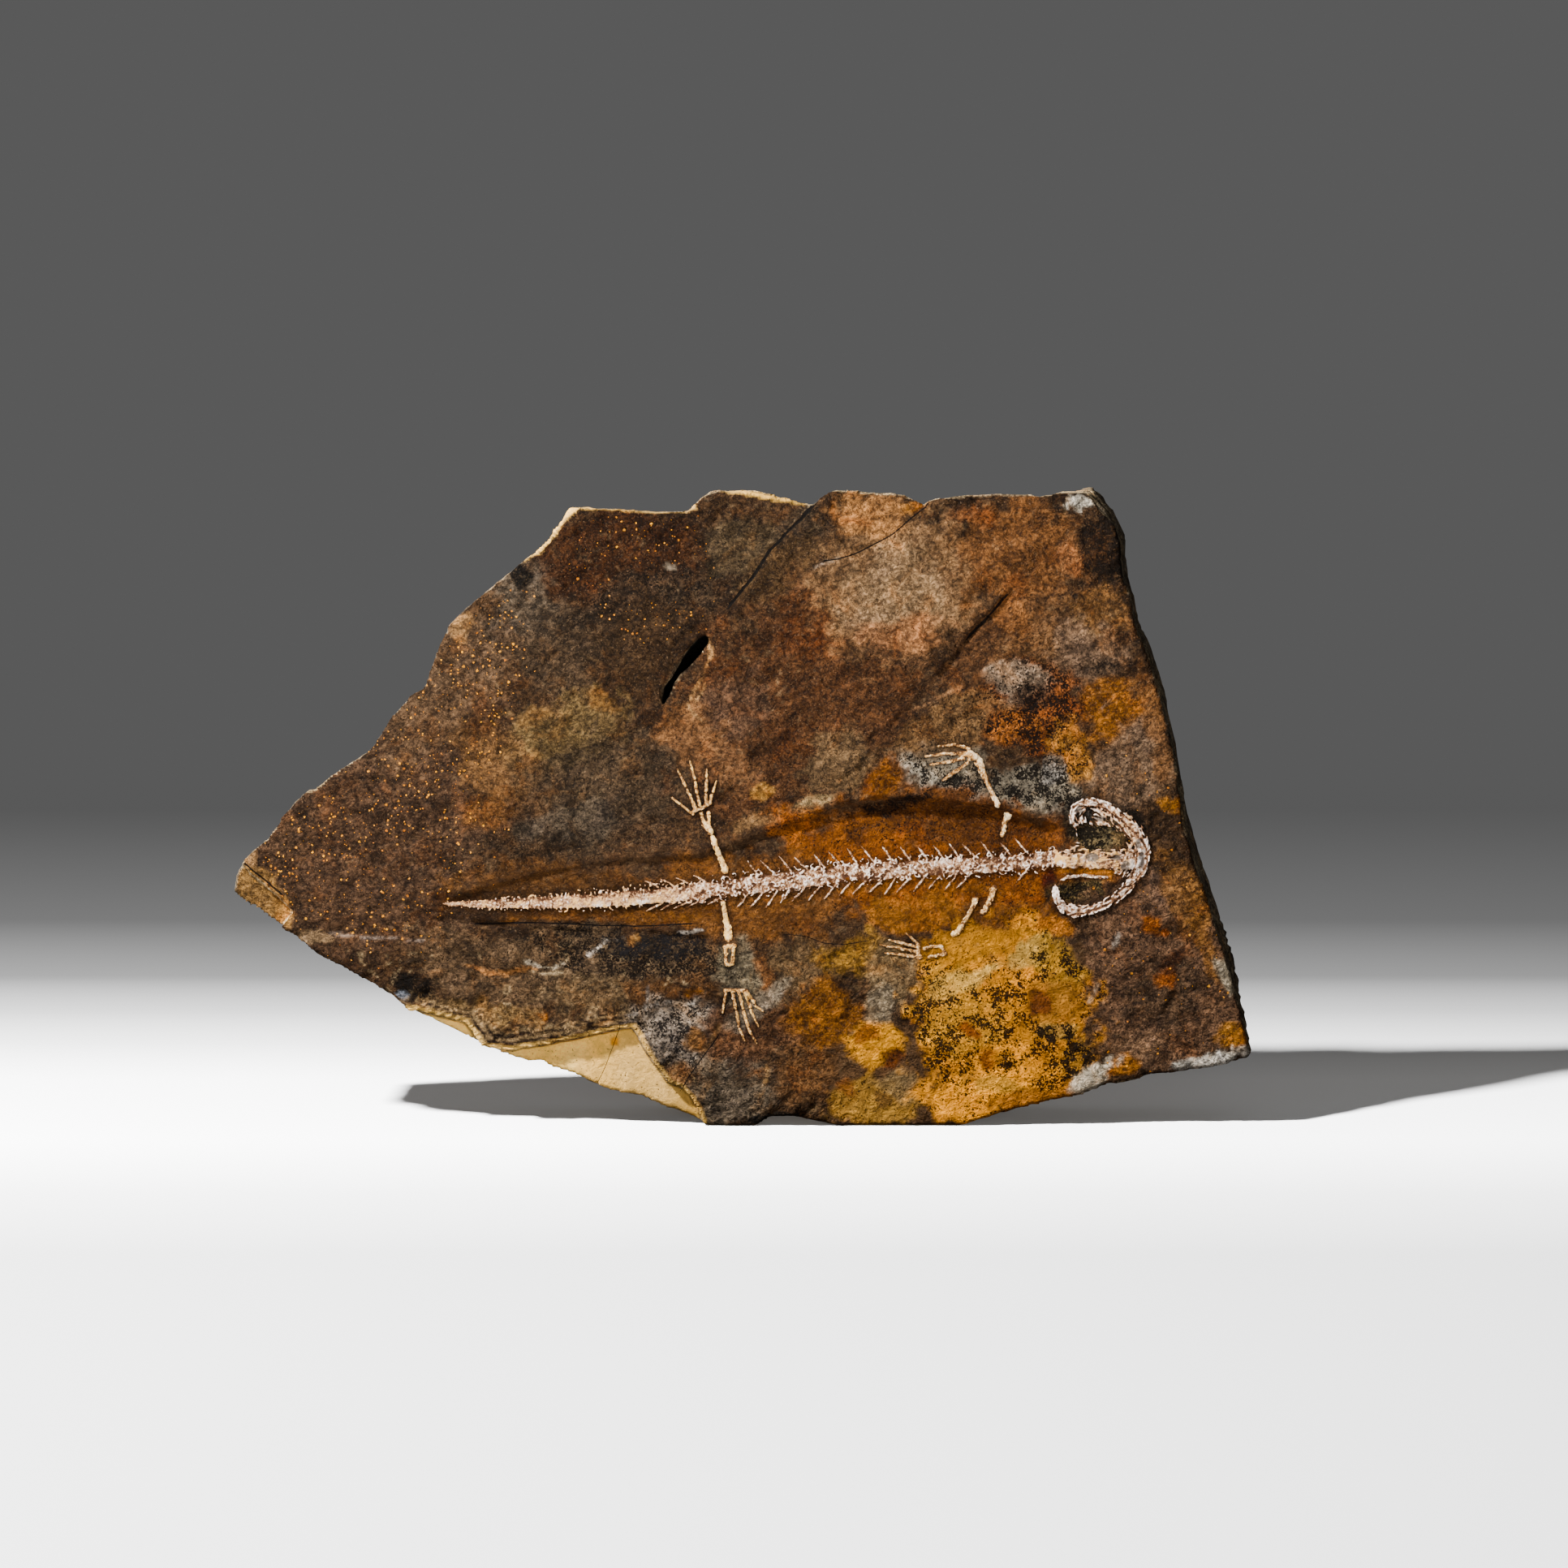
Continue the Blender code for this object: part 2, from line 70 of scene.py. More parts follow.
def linear(hexColour):
    out = []
    for start in (1, 3, 5):
        c = int(hexColour[start:start + 2], 16) / 255
        out.append(c / 12.92 if c <= 0.04045 else ((c + 0.055) / 1.055) ** 2.4)
    return np.array(out)


def ease(low, high, value):
    t = np.clip((value - low) / (high - low), 0, 1)
    return t * t * (3 - 2 * t)


def fade(name, value):
    return ease(*zones[name], value)


def stained(hexColour):
    # a weathered colour with the iron stain in it, which greys take less of
    colour = linear(hexColour)
    return colour * 0.86 * np.array(slabLook["iron"]) ** ease(1.0, 1.8, colour[0] / colour[2])


def stepped(value, first):
    # value with flat treads between short rises
    return np.floor(value) + ease(first, 1 - first, value - np.floor(value))


def bumps(points, size, seed):
    # smooth noise from -1 to 1, whose bumps are about this many millimetres apart
    p = points / size + seed * 7.31
    cell = np.floor(p).astype(np.int64)
    f = p - cell
    f = f * f * (3 - 2 * f)
    total = np.zeros(len(points))
    for corner in range(8):
        step = np.array([corner & 1, corner >> 1 & 1, corner >> 2 & 1])
        at = cell + step
        code = at[:, 0] * 374761393 + at[:, 1] * 668265263 + at[:, 2] * 1440662683 + seed * 69069
        code &= 0xffffffff
        code = ((code ^ (code >> 13)) * 1274126177) & 0xffffffff
        code = (code ^ (code >> 16)) & 0xffff
        weight = np.prod(np.where(step == 1, f, 1 - f), axis=1)
        total += weight * (code / 32767.5 - 1)
    return total


def cloud(points, size, octaves, seed, keep=0.55):
    # bumps of this size with finer ones on them, each octave weaker than the one before
    total = np.zeros(len(points))
    share = 1.0
    whole = 0.0
    for octave in range(octaves):
        total += share * bumps(points, size / 2 ** octave, seed + octave * 11)
        whole += share
        share *= keep
    return total / whole * 1.6


def linked(name, data):
    # a new object in the scene
    made = bpy.data.objects.new(name, data)
    bpy.context.scene.collection.objects.link(made)
    return made


def fused(bm, name, voxel):
    # the shapes in the bmesh grown together into one skin
    mesh = bpy.data.meshes.new(name)
    bm.to_mesh(mesh)
    bm.free()
    rough = linked(name + "Rough", mesh)
    step = rough.modifiers.new("grow together", 'REMESH')
    step.mode = 'VOXEL'
    step.voxel_size = voxel * mm
    return rough


def applied(rough):
    # the mesh as its modifiers leave it, with the rough object gone
    graph = bpy.context.evaluated_depsgraph_get()
    mesh = bpy.data.meshes.new_from_object(rough.evaluated_get(graph))
    bpy.data.objects.remove(rough, do_unlink=True)
    return mesh


def pointsOf(mesh):
    points = np.empty(len(mesh.vertices) * 3)
    mesh.vertices.foreach_get("co", points)
    normals = np.empty(len(mesh.vertices) * 3)
    mesh.vertex_normals.foreach_get("vector", normals)
    return points.reshape(-1, 3), normals.reshape(-1, 3)


def paint(mesh, name, values):
    # values per point, as an attribute that the material reads
    layer = mesh.attributes.new(name, 'FLOAT_COLOR', 'POINT')
    full = np.ones((len(values), 4))
    full[:, :values.shape[1]] = values
    layer.data.foreach_set("color", full.ravel())


def trianglesOf(mesh):
    return sum(len(face.vertices) - 2 for face in mesh.polygons)


def finished(mesh, name, material, slot, *nodes):
    mesh.materials.clear()
    mesh.materials.append(material)
    mesh.shade_smooth()
    piece = linked(name, mesh)
    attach(piece, "root")
    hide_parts(*nodes)
    return piece


def setInputs(node, inputs):
    # values or links on a node's inputs, by name or in their order
    for key, value in inputs.items() if isinstance(inputs, dict) else enumerate(inputs):
        if isinstance(value, bpy.types.NodeSocket):
            node.id_data.links.new(value, node.inputs[key])
        else:
            node.inputs[key].default_value = value


def addNode(tree, kind, inputs, settings=None):
    # one node with its settings, its input values and its links; gives its outputs
    node = tree.nodes.new("ShaderNode" + kind)
    for key, value in (settings or {}).items():
        setattr(node, key, value)
    setInputs(node, inputs)
    return node.outputs


# settings that many nodes share
times, plusTimes, minus = {"operation": 'MULTIPLY'}, {"operation": 'MULTIPLY_ADD'}, {"operation": 'SUBTRACT'}
positive, isLess = {"operation": 'ABSOLUTE'}, {"operation": 'LESS_THAN'}
softly = {"interpolation_type": 'SMOOTHSTEP'}
over = {"data_type": 'RGBA'}
tinting = {"data_type": 'RGBA', "blend_type": 'MULTIPLY'}


def newMaterial(name):
    material = bpy.data.materials.new(name)
    material.use_nodes = True
    add = partial(addNode, material.node_tree)
    inMetres = add("TexCoord", {})["Object"]
    coords = add("VectorMath", {0: inMetres, "Scale": 1 / mm}, {"operation": 'SCALE'})[0]
    return material, add, material.node_tree.nodes["Principled BSDF"], coords


def colourOf(hexColour):
    return (*linear(hexColour), 1.0)


# the slab
slabLook = {
    "voxel": 0.64,      # mm between points on the front
    "restKept": 0.4,    # share of the faces that stays, thinned out on the back and sides alone
    "swell": 0.24,      # mm of low relief
    "grain": 0.16,      # mm of rough grain
    "grit": 0.08,       # mm of the finest grain
    "bedding": 0.55,    # mm that the beds stand out on the broken sides
    "flake": 0.28,      # mm that one thin flake stands above the next
    "scar": 0.34,       # mm of the long scars of the split
    "splitTurn": math.radians(42),  # how steeply the scars run up to the right
    "bedWidth": 8,      # units that each thin bed shows above the fresh break
    "bedDrop": 0.26,    # mm from one of these beds to the next
    "freshRise": 0.5,   # mm that the fresh break stands out
    "terrace": 0.35,    # mm from one terrace on the back to the next
    "wander": 13,       # units that the edge of a stain wanders
    "iron": (0.57, 0.475, 0.31),  # the iron stain that warms every weathered colour
}

# where things fade in on the drawing, from nothing to all: the first ones across or down the slab, then those
# of the skull's bar and cheek, the arms and the tail
zones = {
    "calmRight": (1180, 1330), "bedsLeft": (810, 750), "bedsTip": (470, 520), "trunk": (850, 1010),
    "hollowFoot": (1165, 1040), "wallTop": (1050, 1015), "wallRight": (900, 1010), "tailFoot": (1100, 1136),
    "tailLeft": (920, 860), "cornerChip": (1270, 1300), "low": (1150, 1180), "left": (960, 880),
    "goldLow": (1120, 1200), "goldRight": (1325, 1370), "goldRightFoot": (860, 960), "freshShadeLift": (770, 700),
    "barRight": (1396, 1380), "barTop": (1034, 1042), "barFoot": (1074, 1068), "fieldLeft": (1340, 1352),
    "fieldRight": (1402, 1392), "fieldTop": (988, 1000), "fieldFoot": (1046, 1036), "upperArm": (1185, 1195),
    "upperArmFoot": (1040, 1030), "lowerArm": (1165, 1175), "lowerArmTop": (1080, 1085),
    "forelimbs": (930, 1120), "creamTail": (900, 820),
}
topEdge = 604          # nothing stands higher on the drawing
darkSideFrom = 1200    # the side right of here faces away from the light
lobe = (1140, 1124, 110, 22)   # the raised lobe in the hollow: its middle and its reach
slotHole = (842, 826, 50, 60)  # round the slot: its middle and its reach

# the cracks as (line, half width in mm); each has a channel of its own
cracks = [
    ([(1000, 622), (985, 640), (969, 654), (957, 668), (946, 678), (938, 692), (925, 712), (911, 728),
      (897, 746)], 0.42),
    ([(1140, 620), (1135, 628), (1118, 641), (1108, 650), (1094, 661), (1074, 671), (1050, 683),
      (1030, 690), (1013, 692)], 0.16),
    ([(762, 1262), (756, 1280), (745, 1308), (732, 1337)], 0.08),
    ([(299, 1061), (318, 1076), (333, 1088), (345, 1098)], 0.3),
    # this line and the next are painted shade: the shade under the groove's upper edge and under the tail's
    # step, drawn as cracks
    ([(1236, 733), (1219, 754), (1199, 776), (1188, 788)], 0.3),
    ([(585, 1135), (640, 1134), (690, 1135), (740, 1139), (790, 1138), (850, 1135)], 0.2),
    ([(838, 1338), (848, 1322), (862, 1302), (882, 1275)], 0.14),
    ([(965, 1148), (990, 1150), (1012, 1158), (1040, 1160), (1066, 1156)], 0.09),
]

# steps in the front bed as (line, drop in mm on the left of the line's run, units that the drop reaches)
steps = [
    ([(556, 1180), (590, 1196), (640, 1203), (690, 1196), (720, 1180), (724, 1166)], 0.7, 30),
    ([(515, 1238), (545, 1240), (590, 1246), (620, 1252), (650, 1262), (668, 1250), (664, 1228)], 0.8, 26),
    ([(790, 1272), (800, 1256), (820, 1244), (850, 1236), (880, 1240)], 0.5, 26),
    ([(1126, 866), (1155, 839), (1182, 802), (1199, 778)], 0.6, 30),
    ([(1320, 628), (1325, 660), (1322, 690), (1340, 715), (1352, 740)], 0.5, 24),
    ([(990, 974), (1020, 962), (1050, 945), (1068, 925), (1072, 900)], -0.4, 30),
    ([(1300, 936), (1315, 970), (1340, 978), (1366, 976)], 0.3, 12),
    ([(368, 1150), (403, 1147), (440, 1152), (480, 1153), (520, 1155)], 0.4, 20),
    ([(1400, 1150), (1440, 1176), (1452, 1200), (1430, 1240)], 0.3, 24),
    ([(560, 762), (580, 770), (600, 748)], -0.5, 20),
]

# small swellings and pits as (u, v, radius in units, rise in mm)
nodules = [(936, 966, 13, 0.55), (778, 1155, 8, 0.5), (1097, 1300, 11, -0.35), (1276, 1230, 14, -0.3),
           (754, 1283, 6, 0.35)]

# stains in the order that they lie over each other: where, how far, turn, colour, strength, soft edge,
# how broken up, then the colour and share of the specks in them
stains = [
    ("left field", 440, 1000, 230, 190, -35, "#513f36", 1.0, 0.35, 0.0, "#2c2019", 0.1),
    ("left field, paler", 520, 880, 80, 50, -50, "#685548", 0.7, 0.6, 0.5, "#3a2a20", 0.08),
    ("left field, red brown", 600, 800, 80, 44, -30, "#6f5c50", 0.8, 0.6, 0.3, "#3b2a1f", 0.08),
    ("grey plate", 655, 740, 44, 40, -40, "#59514a", 0.7, 0.6, 0.3, "#3a3530", 0.1),
    ("dark plate", 700, 790, 60, 70, 0, "#4b4038", 0.8, 0.6, 0.2, "#2a221d", 0.12),
    ("black by rim", 641, 712, 10, 12, -40, "#14110f", 0.95, 0.5, 0.6, "#14110f", 0.3),
    ("top left block", 770, 690, 100, 66, 0, "#41291a", 0.95, 0.4, 0.1, "#1f1712", 0.13),
    ("top left block, grey", 800, 735, 90, 30, -10, "#3b342e", 0.6, 0.7, 0.4, "#1c1815", 0.35),
    ("top grey tan", 915, 672, 52, 40, -40, "#53493d", 0.8, 0.6, 0.3, "#2e2820", 0.12),
    ("top middle notch", 985, 650, 40, 34, -40, "#312a25", 0.8, 0.6, 0.3, "#241e19", 0.12),
    ("ridge by fissure", 960, 700, 60, 26, -45, "#4e3d2c", 0.8, 0.6, 0.3, "#38291c", 0.1),
    ("left of slot", 800, 800, 60, 60, -50, "#3b2d21", 0.7, 0.7, 0.3, "#2c221b", 0.12),
    ("green tan patch", 690, 895, 72, 44, -10, "#7a694c", 0.85, 0.7, 0.35, "#4c3c26", 0.11),
    ("green tan, bright", 662, 874, 26, 12, -15, "#876a45", 0.8, 0.7, 0.5, "#6a4d2a", 0.08),
    ("green tan, orange", 738, 860, 16, 14, 0, "#86653a", 0.85, 0.7, 0.4, "#6f4c1e", 0.08),
    ("green tan, black", 678, 884, 18, 8, -25, "#332c22", 0.6, 0.8, 0.5, "#1c1712", 0.3),
    ("tan tail of patch", 610, 940, 44, 60, -30, "#7b5c3c", 0.7, 0.7, 0.4, "#44311f", 0.1),
    ("orange tan", 600, 1000, 30, 26, 0, "#845c34", 0.7, 0.8, 0.4, "#4b3018", 0.08),
    ("grey brown middle", 760, 965, 110, 64, -20, "#4a4038", 0.75, 0.7, 0.3, "#2c2620", 0.12),
    ("dark middle", 640, 1050, 80, 30, -5, "#3c3128", 0.7, 0.7, 0.3, "#1d1712", 0.12),
    ("dark cloud", 700, 1010, 60, 26, -10, "#47403a", 0.7, 0.7, 0.4, "#26211d", 0.12),
    ("right of slot", 980, 850, 170, 110, -35, "#553a28", 0.95, 0.5, 0.15, "#2c1e15", 0.12),
    ("right of slot, violet", 900, 870, 60, 40, -45, "#5e4a42", 0.7, 0.8, 0.4, "#32241d", 0.1),
    ("rust", 1000, 785, 46, 26, -10, "#5f3a22", 0.75, 0.8, 0.4, "#3c2012", 0.1),
    ("tan beside slot", 850, 900, 34, 40, -50, "#8c6546", 0.75, 0.7, 0.4, "#4d3524", 0.08),
    ("tan above foot", 880, 940, 60, 26, 20, "#7d5c44", 0.7, 0.8, 0.5, "#3d2b20", 0.1),
    ("sand field", 1110, 715, 100, 92, -20, "#8c6f57", 0.95, 0.5, 0.2, "#5b4535", 0.11),
    ("sand field, pale", 1100, 735, 50, 60, 0, "#ab9480", 0.55, 0.9, 0.5, "#6b5444", 0.08),
    ("sand field, pink", 1110, 785, 50, 24, 0, "#ab7856", 0.75, 0.8, 0.4, "#6b4128", 0.08),
    ("orange top", 1062, 634, 56, 26, 5, "#b28256", 0.9, 0.6, 0.3, "#6b4426", 0.08),
    ("orange notch", 1128, 630, 14, 12, 0, "#c08438", 0.8, 0.7, 0.3, "#7a4a1a", 0.08),
    ("brown top right", 1255, 680, 84, 70, 0, "#755031", 0.9, 0.6, 0.2, "#57371f", 0.1),
    ("rust dots top right", 1195, 640, 30, 12, 0, "#7a4822", 0.5, 0.9, 0.6, "#4a220f", 0.12),
    ("shade by groove", 1215, 795, 70, 30, -45, "#553a27", 0.7, 0.7, 0.3, "#35231a", 0.1),
    ("below groove", 1270, 790, 60, 40, -45, "#7a5a40", 0.7, 0.7, 0.3, "#3d2c20", 0.1),
    ("pink below groove", 1240, 765, 26, 24, 0, "#94643c", 0.7, 0.8, 0.4, "#50331f", 0.08),
    ("dark corner", 1350, 675, 26, 42, -15, "#33251a", 0.95, 0.5, 0.4, "#1c1613", 0.4),
    ("tan corner", 1310, 690, 18, 30, -10, "#93684a", 0.8, 0.7, 0.3, "#50362a", 0.08),
    ("tan right column", 1350, 755, 40, 30, 10, "#84613d", 0.85, 0.7, 0.4, "#4e3b28", 0.12),
    ("lilac right", 1335, 800, 44, 44, 0, "#857067", 0.75, 0.8, 0.5, "#40332d", 0.12),
    ("black pit right", 1350, 818, 18, 13, 0, "#2f2823", 0.7, 0.8, 0.6, "#171210", 0.4),
    ("orange right", 1362, 872, 34, 44, 20, "#94601f", 0.9, 0.7, 0.2, "#5c3511", 0.08),
    ("violet right", 1395, 945, 50, 60, 20, "#7a675e", 0.85, 0.7, 0.3, "#3c302c", 0.12),
    ("tan right rim", 1418, 900, 14, 70, -14, "#8d6440", 0.7, 0.8, 0.4, "#4d3522", 0.08),
    ("speckled orange", 1260, 880, 56, 56, 20, "#8c5226", 0.95, 0.5, 0.25, "#17110d", 0.42),
    ("speckled lilac", 1250, 845, 34, 24, 10, "#9d8c82", 0.9, 0.6, 0.5, "#1d1714", 0.18),
    ("speckled rust", 1246, 905, 36, 22, -10, "#a8682c", 0.8, 0.7, 0.4, "#17110d", 0.35),
    ("dark speckled", 1272, 862, 20, 16, 0, "#49301f", 0.8, 0.8, 0.4, "#120d0a", 0.5),
    ("ochre block", 1312, 930, 30, 44, -4, "#b48036", 0.95, 0.35, 0.25, "#1b140d", 0.24),
    ("grey patina", 1160, 950, 60, 34, 12, "#8f877d", 0.97, 0.3, 0.3, "#120f0c", 0.42),
    ("grey patina, right", 1262, 972, 74, 26, 14, "#7a7369", 0.95, 0.3, 0.25, "#120f0c", 0.4),
    ("grey patina, tongue", 1290, 950, 16, 24, 20, "#706b66", 0.9, 0.3, 0.2, "#1a1613", 0.25),
    ("patina by hand", 1172, 935, 42, 20, 0, "#a3988a", 0.6, 0.8, 0.6, "#2a241d", 0.12),
    ("tan above patina", 1170, 890, 60, 30, -20, "#7b6045", 0.8, 0.7, 0.4, "#241b14", 0.14),
    ("orange patch", 1082, 955, 34, 24, -30, "#75470f", 0.95, 0.5, 0.3, "#5d3510", 0.08),
    ("grey beside orange", 1030, 935, 44, 34, -20, "#6f5d4b", 0.85, 0.6, 0.3, "#3a2e23", 0.1),
    ("pale chip", 1000, 985, 26, 8, -14, "#9f8d72", 0.85, 0.5, 0.5, "#6b5b48", 0.1),
    ("tan edge of hollow", 950, 1003, 60, 10, -14, "#7d6348", 0.7, 0.7, 0.4, "#46341f", 0.08),
    ("hollow, right", 1140, 1060, 190, 84, 4, "#90540f", 0.95, 0.25, 0.1, "#2c1c0d", 0.14),
    # this stain and the next are partly painted shade under the hollow's upper step and partly its dark
    # crumbs
    ("hollow, dark under the step", 1175, 1011, 150, 30, 5, "#432b15", 0.7, 0.7, 0.3, "#1d130a", 0.16),
    ("hollow, black", 1085, 990, 44, 12, -4, "#211811", 0.75, 0.8, 0.5, "#120d09", 0.4),
    ("hollow, orange", 1120, 1090, 110, 14, 0, "#95601d", 0.7, 0.8, 0.4, "#4b2e0e", 0.1),
    ("hollow, lobe", 1130, 1122, 64, 20, -6, "#a06b24", 0.85, 0.6, 0.2, "#54371a", 0.08),
    ("hollow, lobe right", 1230, 1130, 70, 24, 0, "#7a5224", 0.8, 0.7, 0.3, "#43290f", 0.1),
    ("hollow, middle", 920, 1100, 130, 56, 2, "#764f27", 0.95, 0.4, 0.1, "#382410", 0.12),
    ("hollow, tail", 700, 1100, 170, 34, 3, "#573c22", 0.95, 0.35, 0.1, "#33220f", 0.11),
    ("hollow, orange tail", 760, 1125, 120, 12, 1, "#764c1b", 0.7, 0.7, 0.3, "#4a2d10", 0.08),
    ("neck, orange", 1300, 1030, 14, 30, 0, "#7c4a1e", 0.8, 0.7, 0.5, "#5a3212", 0.1),
    ("neck, red", 1291, 1081, 8, 10, 0, "#571c08", 0.85, 0.7, 0.4, "#2b0d04", 0.12),
    ("skull window", 1338, 1000, 6, 9, 0, "#2c2a28", 0.95, 0.2, 0.2, "#16130e", 0.4),
    ("skull inside, upper", 1350, 1022, 30, 18, 5, "#6f6755", 0.95, 0.4, 0.2, "#16130e", 0.42),
    ("skull inside, lower", 1340, 1094, 40, 15, -6, "#756a4c", 0.95, 0.4, 0.2, "#16130e", 0.42),
    ("skull inside, orange", 1346, 1070, 44, 6, 4, "#c07a1c", 0.95, 0.4, 0.3, "#5b3010", 0.08),
    ("skull inside, orange right", 1371, 1081, 12, 10, 20, "#c07a1c", 0.95, 0.4, 0.3, "#5b3010", 0.1),
    ("orange nodule", 663, 1247, 6, 7, 0, "#c8801e", 0.95, 0.3, 0.2, "#6a3a0a", 0.1),
    ("orange by skull", 1300, 1138, 30, 14, 0, "#c07a1c", 0.8, 0.7, 0.4, "#5d340f", 0.1),
    ("grey by snout", 1412, 1100, 24, 30, 0, "#5d5250", 0.8, 0.7, 0.4, "#1f1a19", 0.14),
    ("black by skull", 1400, 1012, 18, 12, 40, "#332b28", 0.8, 0.8, 0.6, "#16120f", 0.45),
    ("ochre above skull", 1448, 990, 20, 12, 0, "#a8721f", 0.85, 0.7, 0.5, "#5e3d11", 0.12),
    ("violet field", 1420, 1200, 100, 130, -16, "#6f574c", 0.97, 0.3, 0.15, "#352a27", 0.14),
    ("violet field, dark", 1430, 1220, 50, 40, -40, "#41362f", 0.7, 0.9, 0.5, "#241d19", 0.14),
    ("violet field, orange", 1455, 1100, 24, 50, -14, "#87602f", 0.6, 0.9, 0.6, "#4b3218", 0.12),
    ("orange right edge", 1478, 1150, 12, 60, -16, "#8a602c", 0.75, 0.8, 0.4, "#4b3217", 0.08),
    ("orange disc", 1416, 1141, 11, 11, 0, "#9c5a14", 0.95, 0.6, 0.5, "#7a3a08", 0.08),
    ("orange speck", 1432, 1145, 5, 5, 0, "#b8620f", 0.9, 0.5, 0.4, "#7a3a08", 0.08),
    ("orange bits", 1430, 1205, 10, 14, 10, "#a8631c", 0.8, 0.7, 0.7, "#5f3409", 0.12),
    ("brown streak", 1436, 1186, 26, 10, -48, "#43291a", 0.8, 0.7, 0.4, "#24150c", 0.12),
    ("grey chip right", 1506, 1200, 10, 22, -14, "#8a8276", 0.95, 0.3, 0.2, "#5d5751", 0.1),
    ("orange low right", 1518, 1272, 16, 16, 0, "#a3711d", 0.85, 0.9, 0.8, "#5f3e10", 0.08),
    ("tan low right", 1395, 1300, 26, 26, 0, "#8f7466", 0.7, 0.8, 0.4, "#53403a", 0.08),
    ("ochre low right", 1382, 1318, 20, 12, 0, "#b8791b", 0.9, 0.6, 0.4, "#6b420c", 0.08),
    ("lower dark", 760, 1180, 130, 40, 5, "#5e5045", 0.95, 0.5, 0.2, "#1a1512", 0.35),
    ("lower black grey", 800, 1160, 60, 16, 0, "#3f3630", 0.85, 0.6, 0.4, "#131213", 0.35),
    ("lower left brown", 600, 1200, 100, 44, 14, "#665548", 0.9, 0.6, 0.3, "#2b1f16", 0.12),
    ("lower left black", 505, 1213, 28, 20, 30, "#1d1814", 0.95, 0.5, 0.3, "#0f0c0a", 0.35),
    ("blue grey chip", 491, 1224, 9, 6, 30, "#5d6168", 0.9, 0.5, 0.4, "#34383c", 0.12),
    ("tan lines", 600, 1246, 64, 14, 8, "#a98c64", 0.75, 0.7, 0.75, "#4a3824", 0.14),
    ("tan mottle", 730, 1225, 66, 28, 0, "#6f6050", 0.85, 0.7, 0.5, "#332a22", 0.14),
    ("brown mottle", 830, 1215, 50, 26, 0, "#5b3f26", 0.8, 0.7, 0.3, "#2a1c11", 0.12),
    ("ochre glint", 850, 1226, 10, 10, 0, "#a86c20", 0.8, 0.7, 0.6, "#5b380f", 0.12),
    ("dark above foot", 830, 1270, 46, 44, -30, "#827770", 0.95, 0.5, 0.3, "#131110", 0.35),
    ("ochre in dark", 858, 1284, 14, 12, -30, "#a37234", 0.85, 0.6, 0.6, "#4c3316", 0.12),
    ("tan in dark", 832, 1322, 18, 14, 30, "#8f6a4a", 0.85, 0.6, 0.5, "#4a3625", 0.12),
    ("grey foot", 900, 1340, 62, 44, -20, "#675d55", 0.95, 0.5, 0.2, "#272320", 0.12),
    ("red brown foot", 930, 1270, 60, 36, -10, "#664938", 0.85, 0.6, 0.3, "#281c15", 0.11),
    ("bronze foot", 990, 1315, 50, 40, -10, "#6c4e34", 0.9, 0.6, 0.2, "#342312", 0.1),
    ("toe shade", 905, 1200, 22, 36, 0, "#777063", 0.75, 0.8, 0.4, "#302b25", 0.12),
    ("orange beside toes", 938, 1205, 8, 34, -16, "#8a5f3c", 0.7, 0.7, 0.6, "#2f2116", 0.14),
    ("lilac plate", 985, 1190, 48, 36, -10, "#625241", 0.9, 0.5, 0.2, "#3e3228", 0.1),
    ("grey wedge", 940, 1230, 34, 14, -40, "#8d8378", 0.7, 0.7, 0.5, "#4a4138", 0.08),
    ("orange brown plate", 1015, 1245, 44, 46, -30, "#94611f", 0.9, 0.6, 0.3, "#4c2e10", 0.1),
    ("ochre plate", 1060, 1175, 44, 26, 0, "#9f792e", 0.9, 0.6, 0.3, "#5e4518", 0.09),
    ("grey lilac plate", 1095, 1195, 36, 40, 0, "#82725f", 0.85, 0.6, 0.3, "#42372d", 0.1),
    ("pale grey wedge", 1078, 1240, 18, 26, 10, "#978c7e", 0.7, 0.7, 0.5, "#4f463d", 0.08),
    ("yellow left", 1075, 1285, 34, 26, 0, "#f0ac10", 0.92, 0.6, 0.3, "#7a5110", 0.08),
    ("yellow low left", 1070, 1352, 54, 30, 0, "#b9903f", 0.9, 0.6, 0.4, "#3b2c14", 0.12),
    ("grey low", 1110, 1330, 30, 16, 0, "#8a7a62", 0.7, 0.8, 0.5, "#443a2c", 0.1),
    ("yellow field", 1232, 1262, 104, 118, 8, "#e69e0a", 0.97, 0.22, 0.15, "#100c07", 0.34),
    ("yellow field, top", 1200, 1160, 76, 24, 0, "#c48a10", 0.9, 0.5, 0.3, "#3c260c", 0.09),
    ("pale band", 1190, 1205, 52, 13, -22, "#e6bf68", 0.92, 0.5, 0.3, "#4a3a1a", 0.06),
    ("pale band, right", 1262, 1176, 34, 14, -36, "#c9a95c", 0.9, 0.5, 0.3, "#2a2110", 0.09),
    ("pale field", 1180, 1250, 50, 50, 0, "#d8ac44", 0.5, 0.9, 0.5, "#100c07", 0.36),
    ("olive field", 1300, 1190, 30, 34, 0, "#b08a2c", 0.8, 0.7, 0.4, "#100c07", 0.4),
    ("amber field", 1295, 1235, 34, 36, 10, "#a0712a", 0.85, 0.7, 0.3, "#2c1c0b", 0.1),
    ("bright yellow", 1186, 1352, 50, 30, 0, "#f79c00", 0.97, 0.45, 0.25, "#17110a", 0.18),
    ("bright yellow, middle", 1235, 1310, 50, 30, 0, "#e89204", 0.8, 0.8, 0.4, "#17110a", 0.25),
    ("pale green low", 1220, 1332, 40, 12, 8, "#b9a04a", 0.5, 0.7, 0.5, "#4e4422", 0.08),
    ("ochre lowest", 1275, 1350, 50, 14, -12, "#b07422", 0.9, 0.6, 0.4, "#5e3b12", 0.08),
    ("rust ring, right", 1276, 1230, 17, 12, -20, "#5f3410", 0.95, 0.9, 0.8, "#2b1306", 0.12),
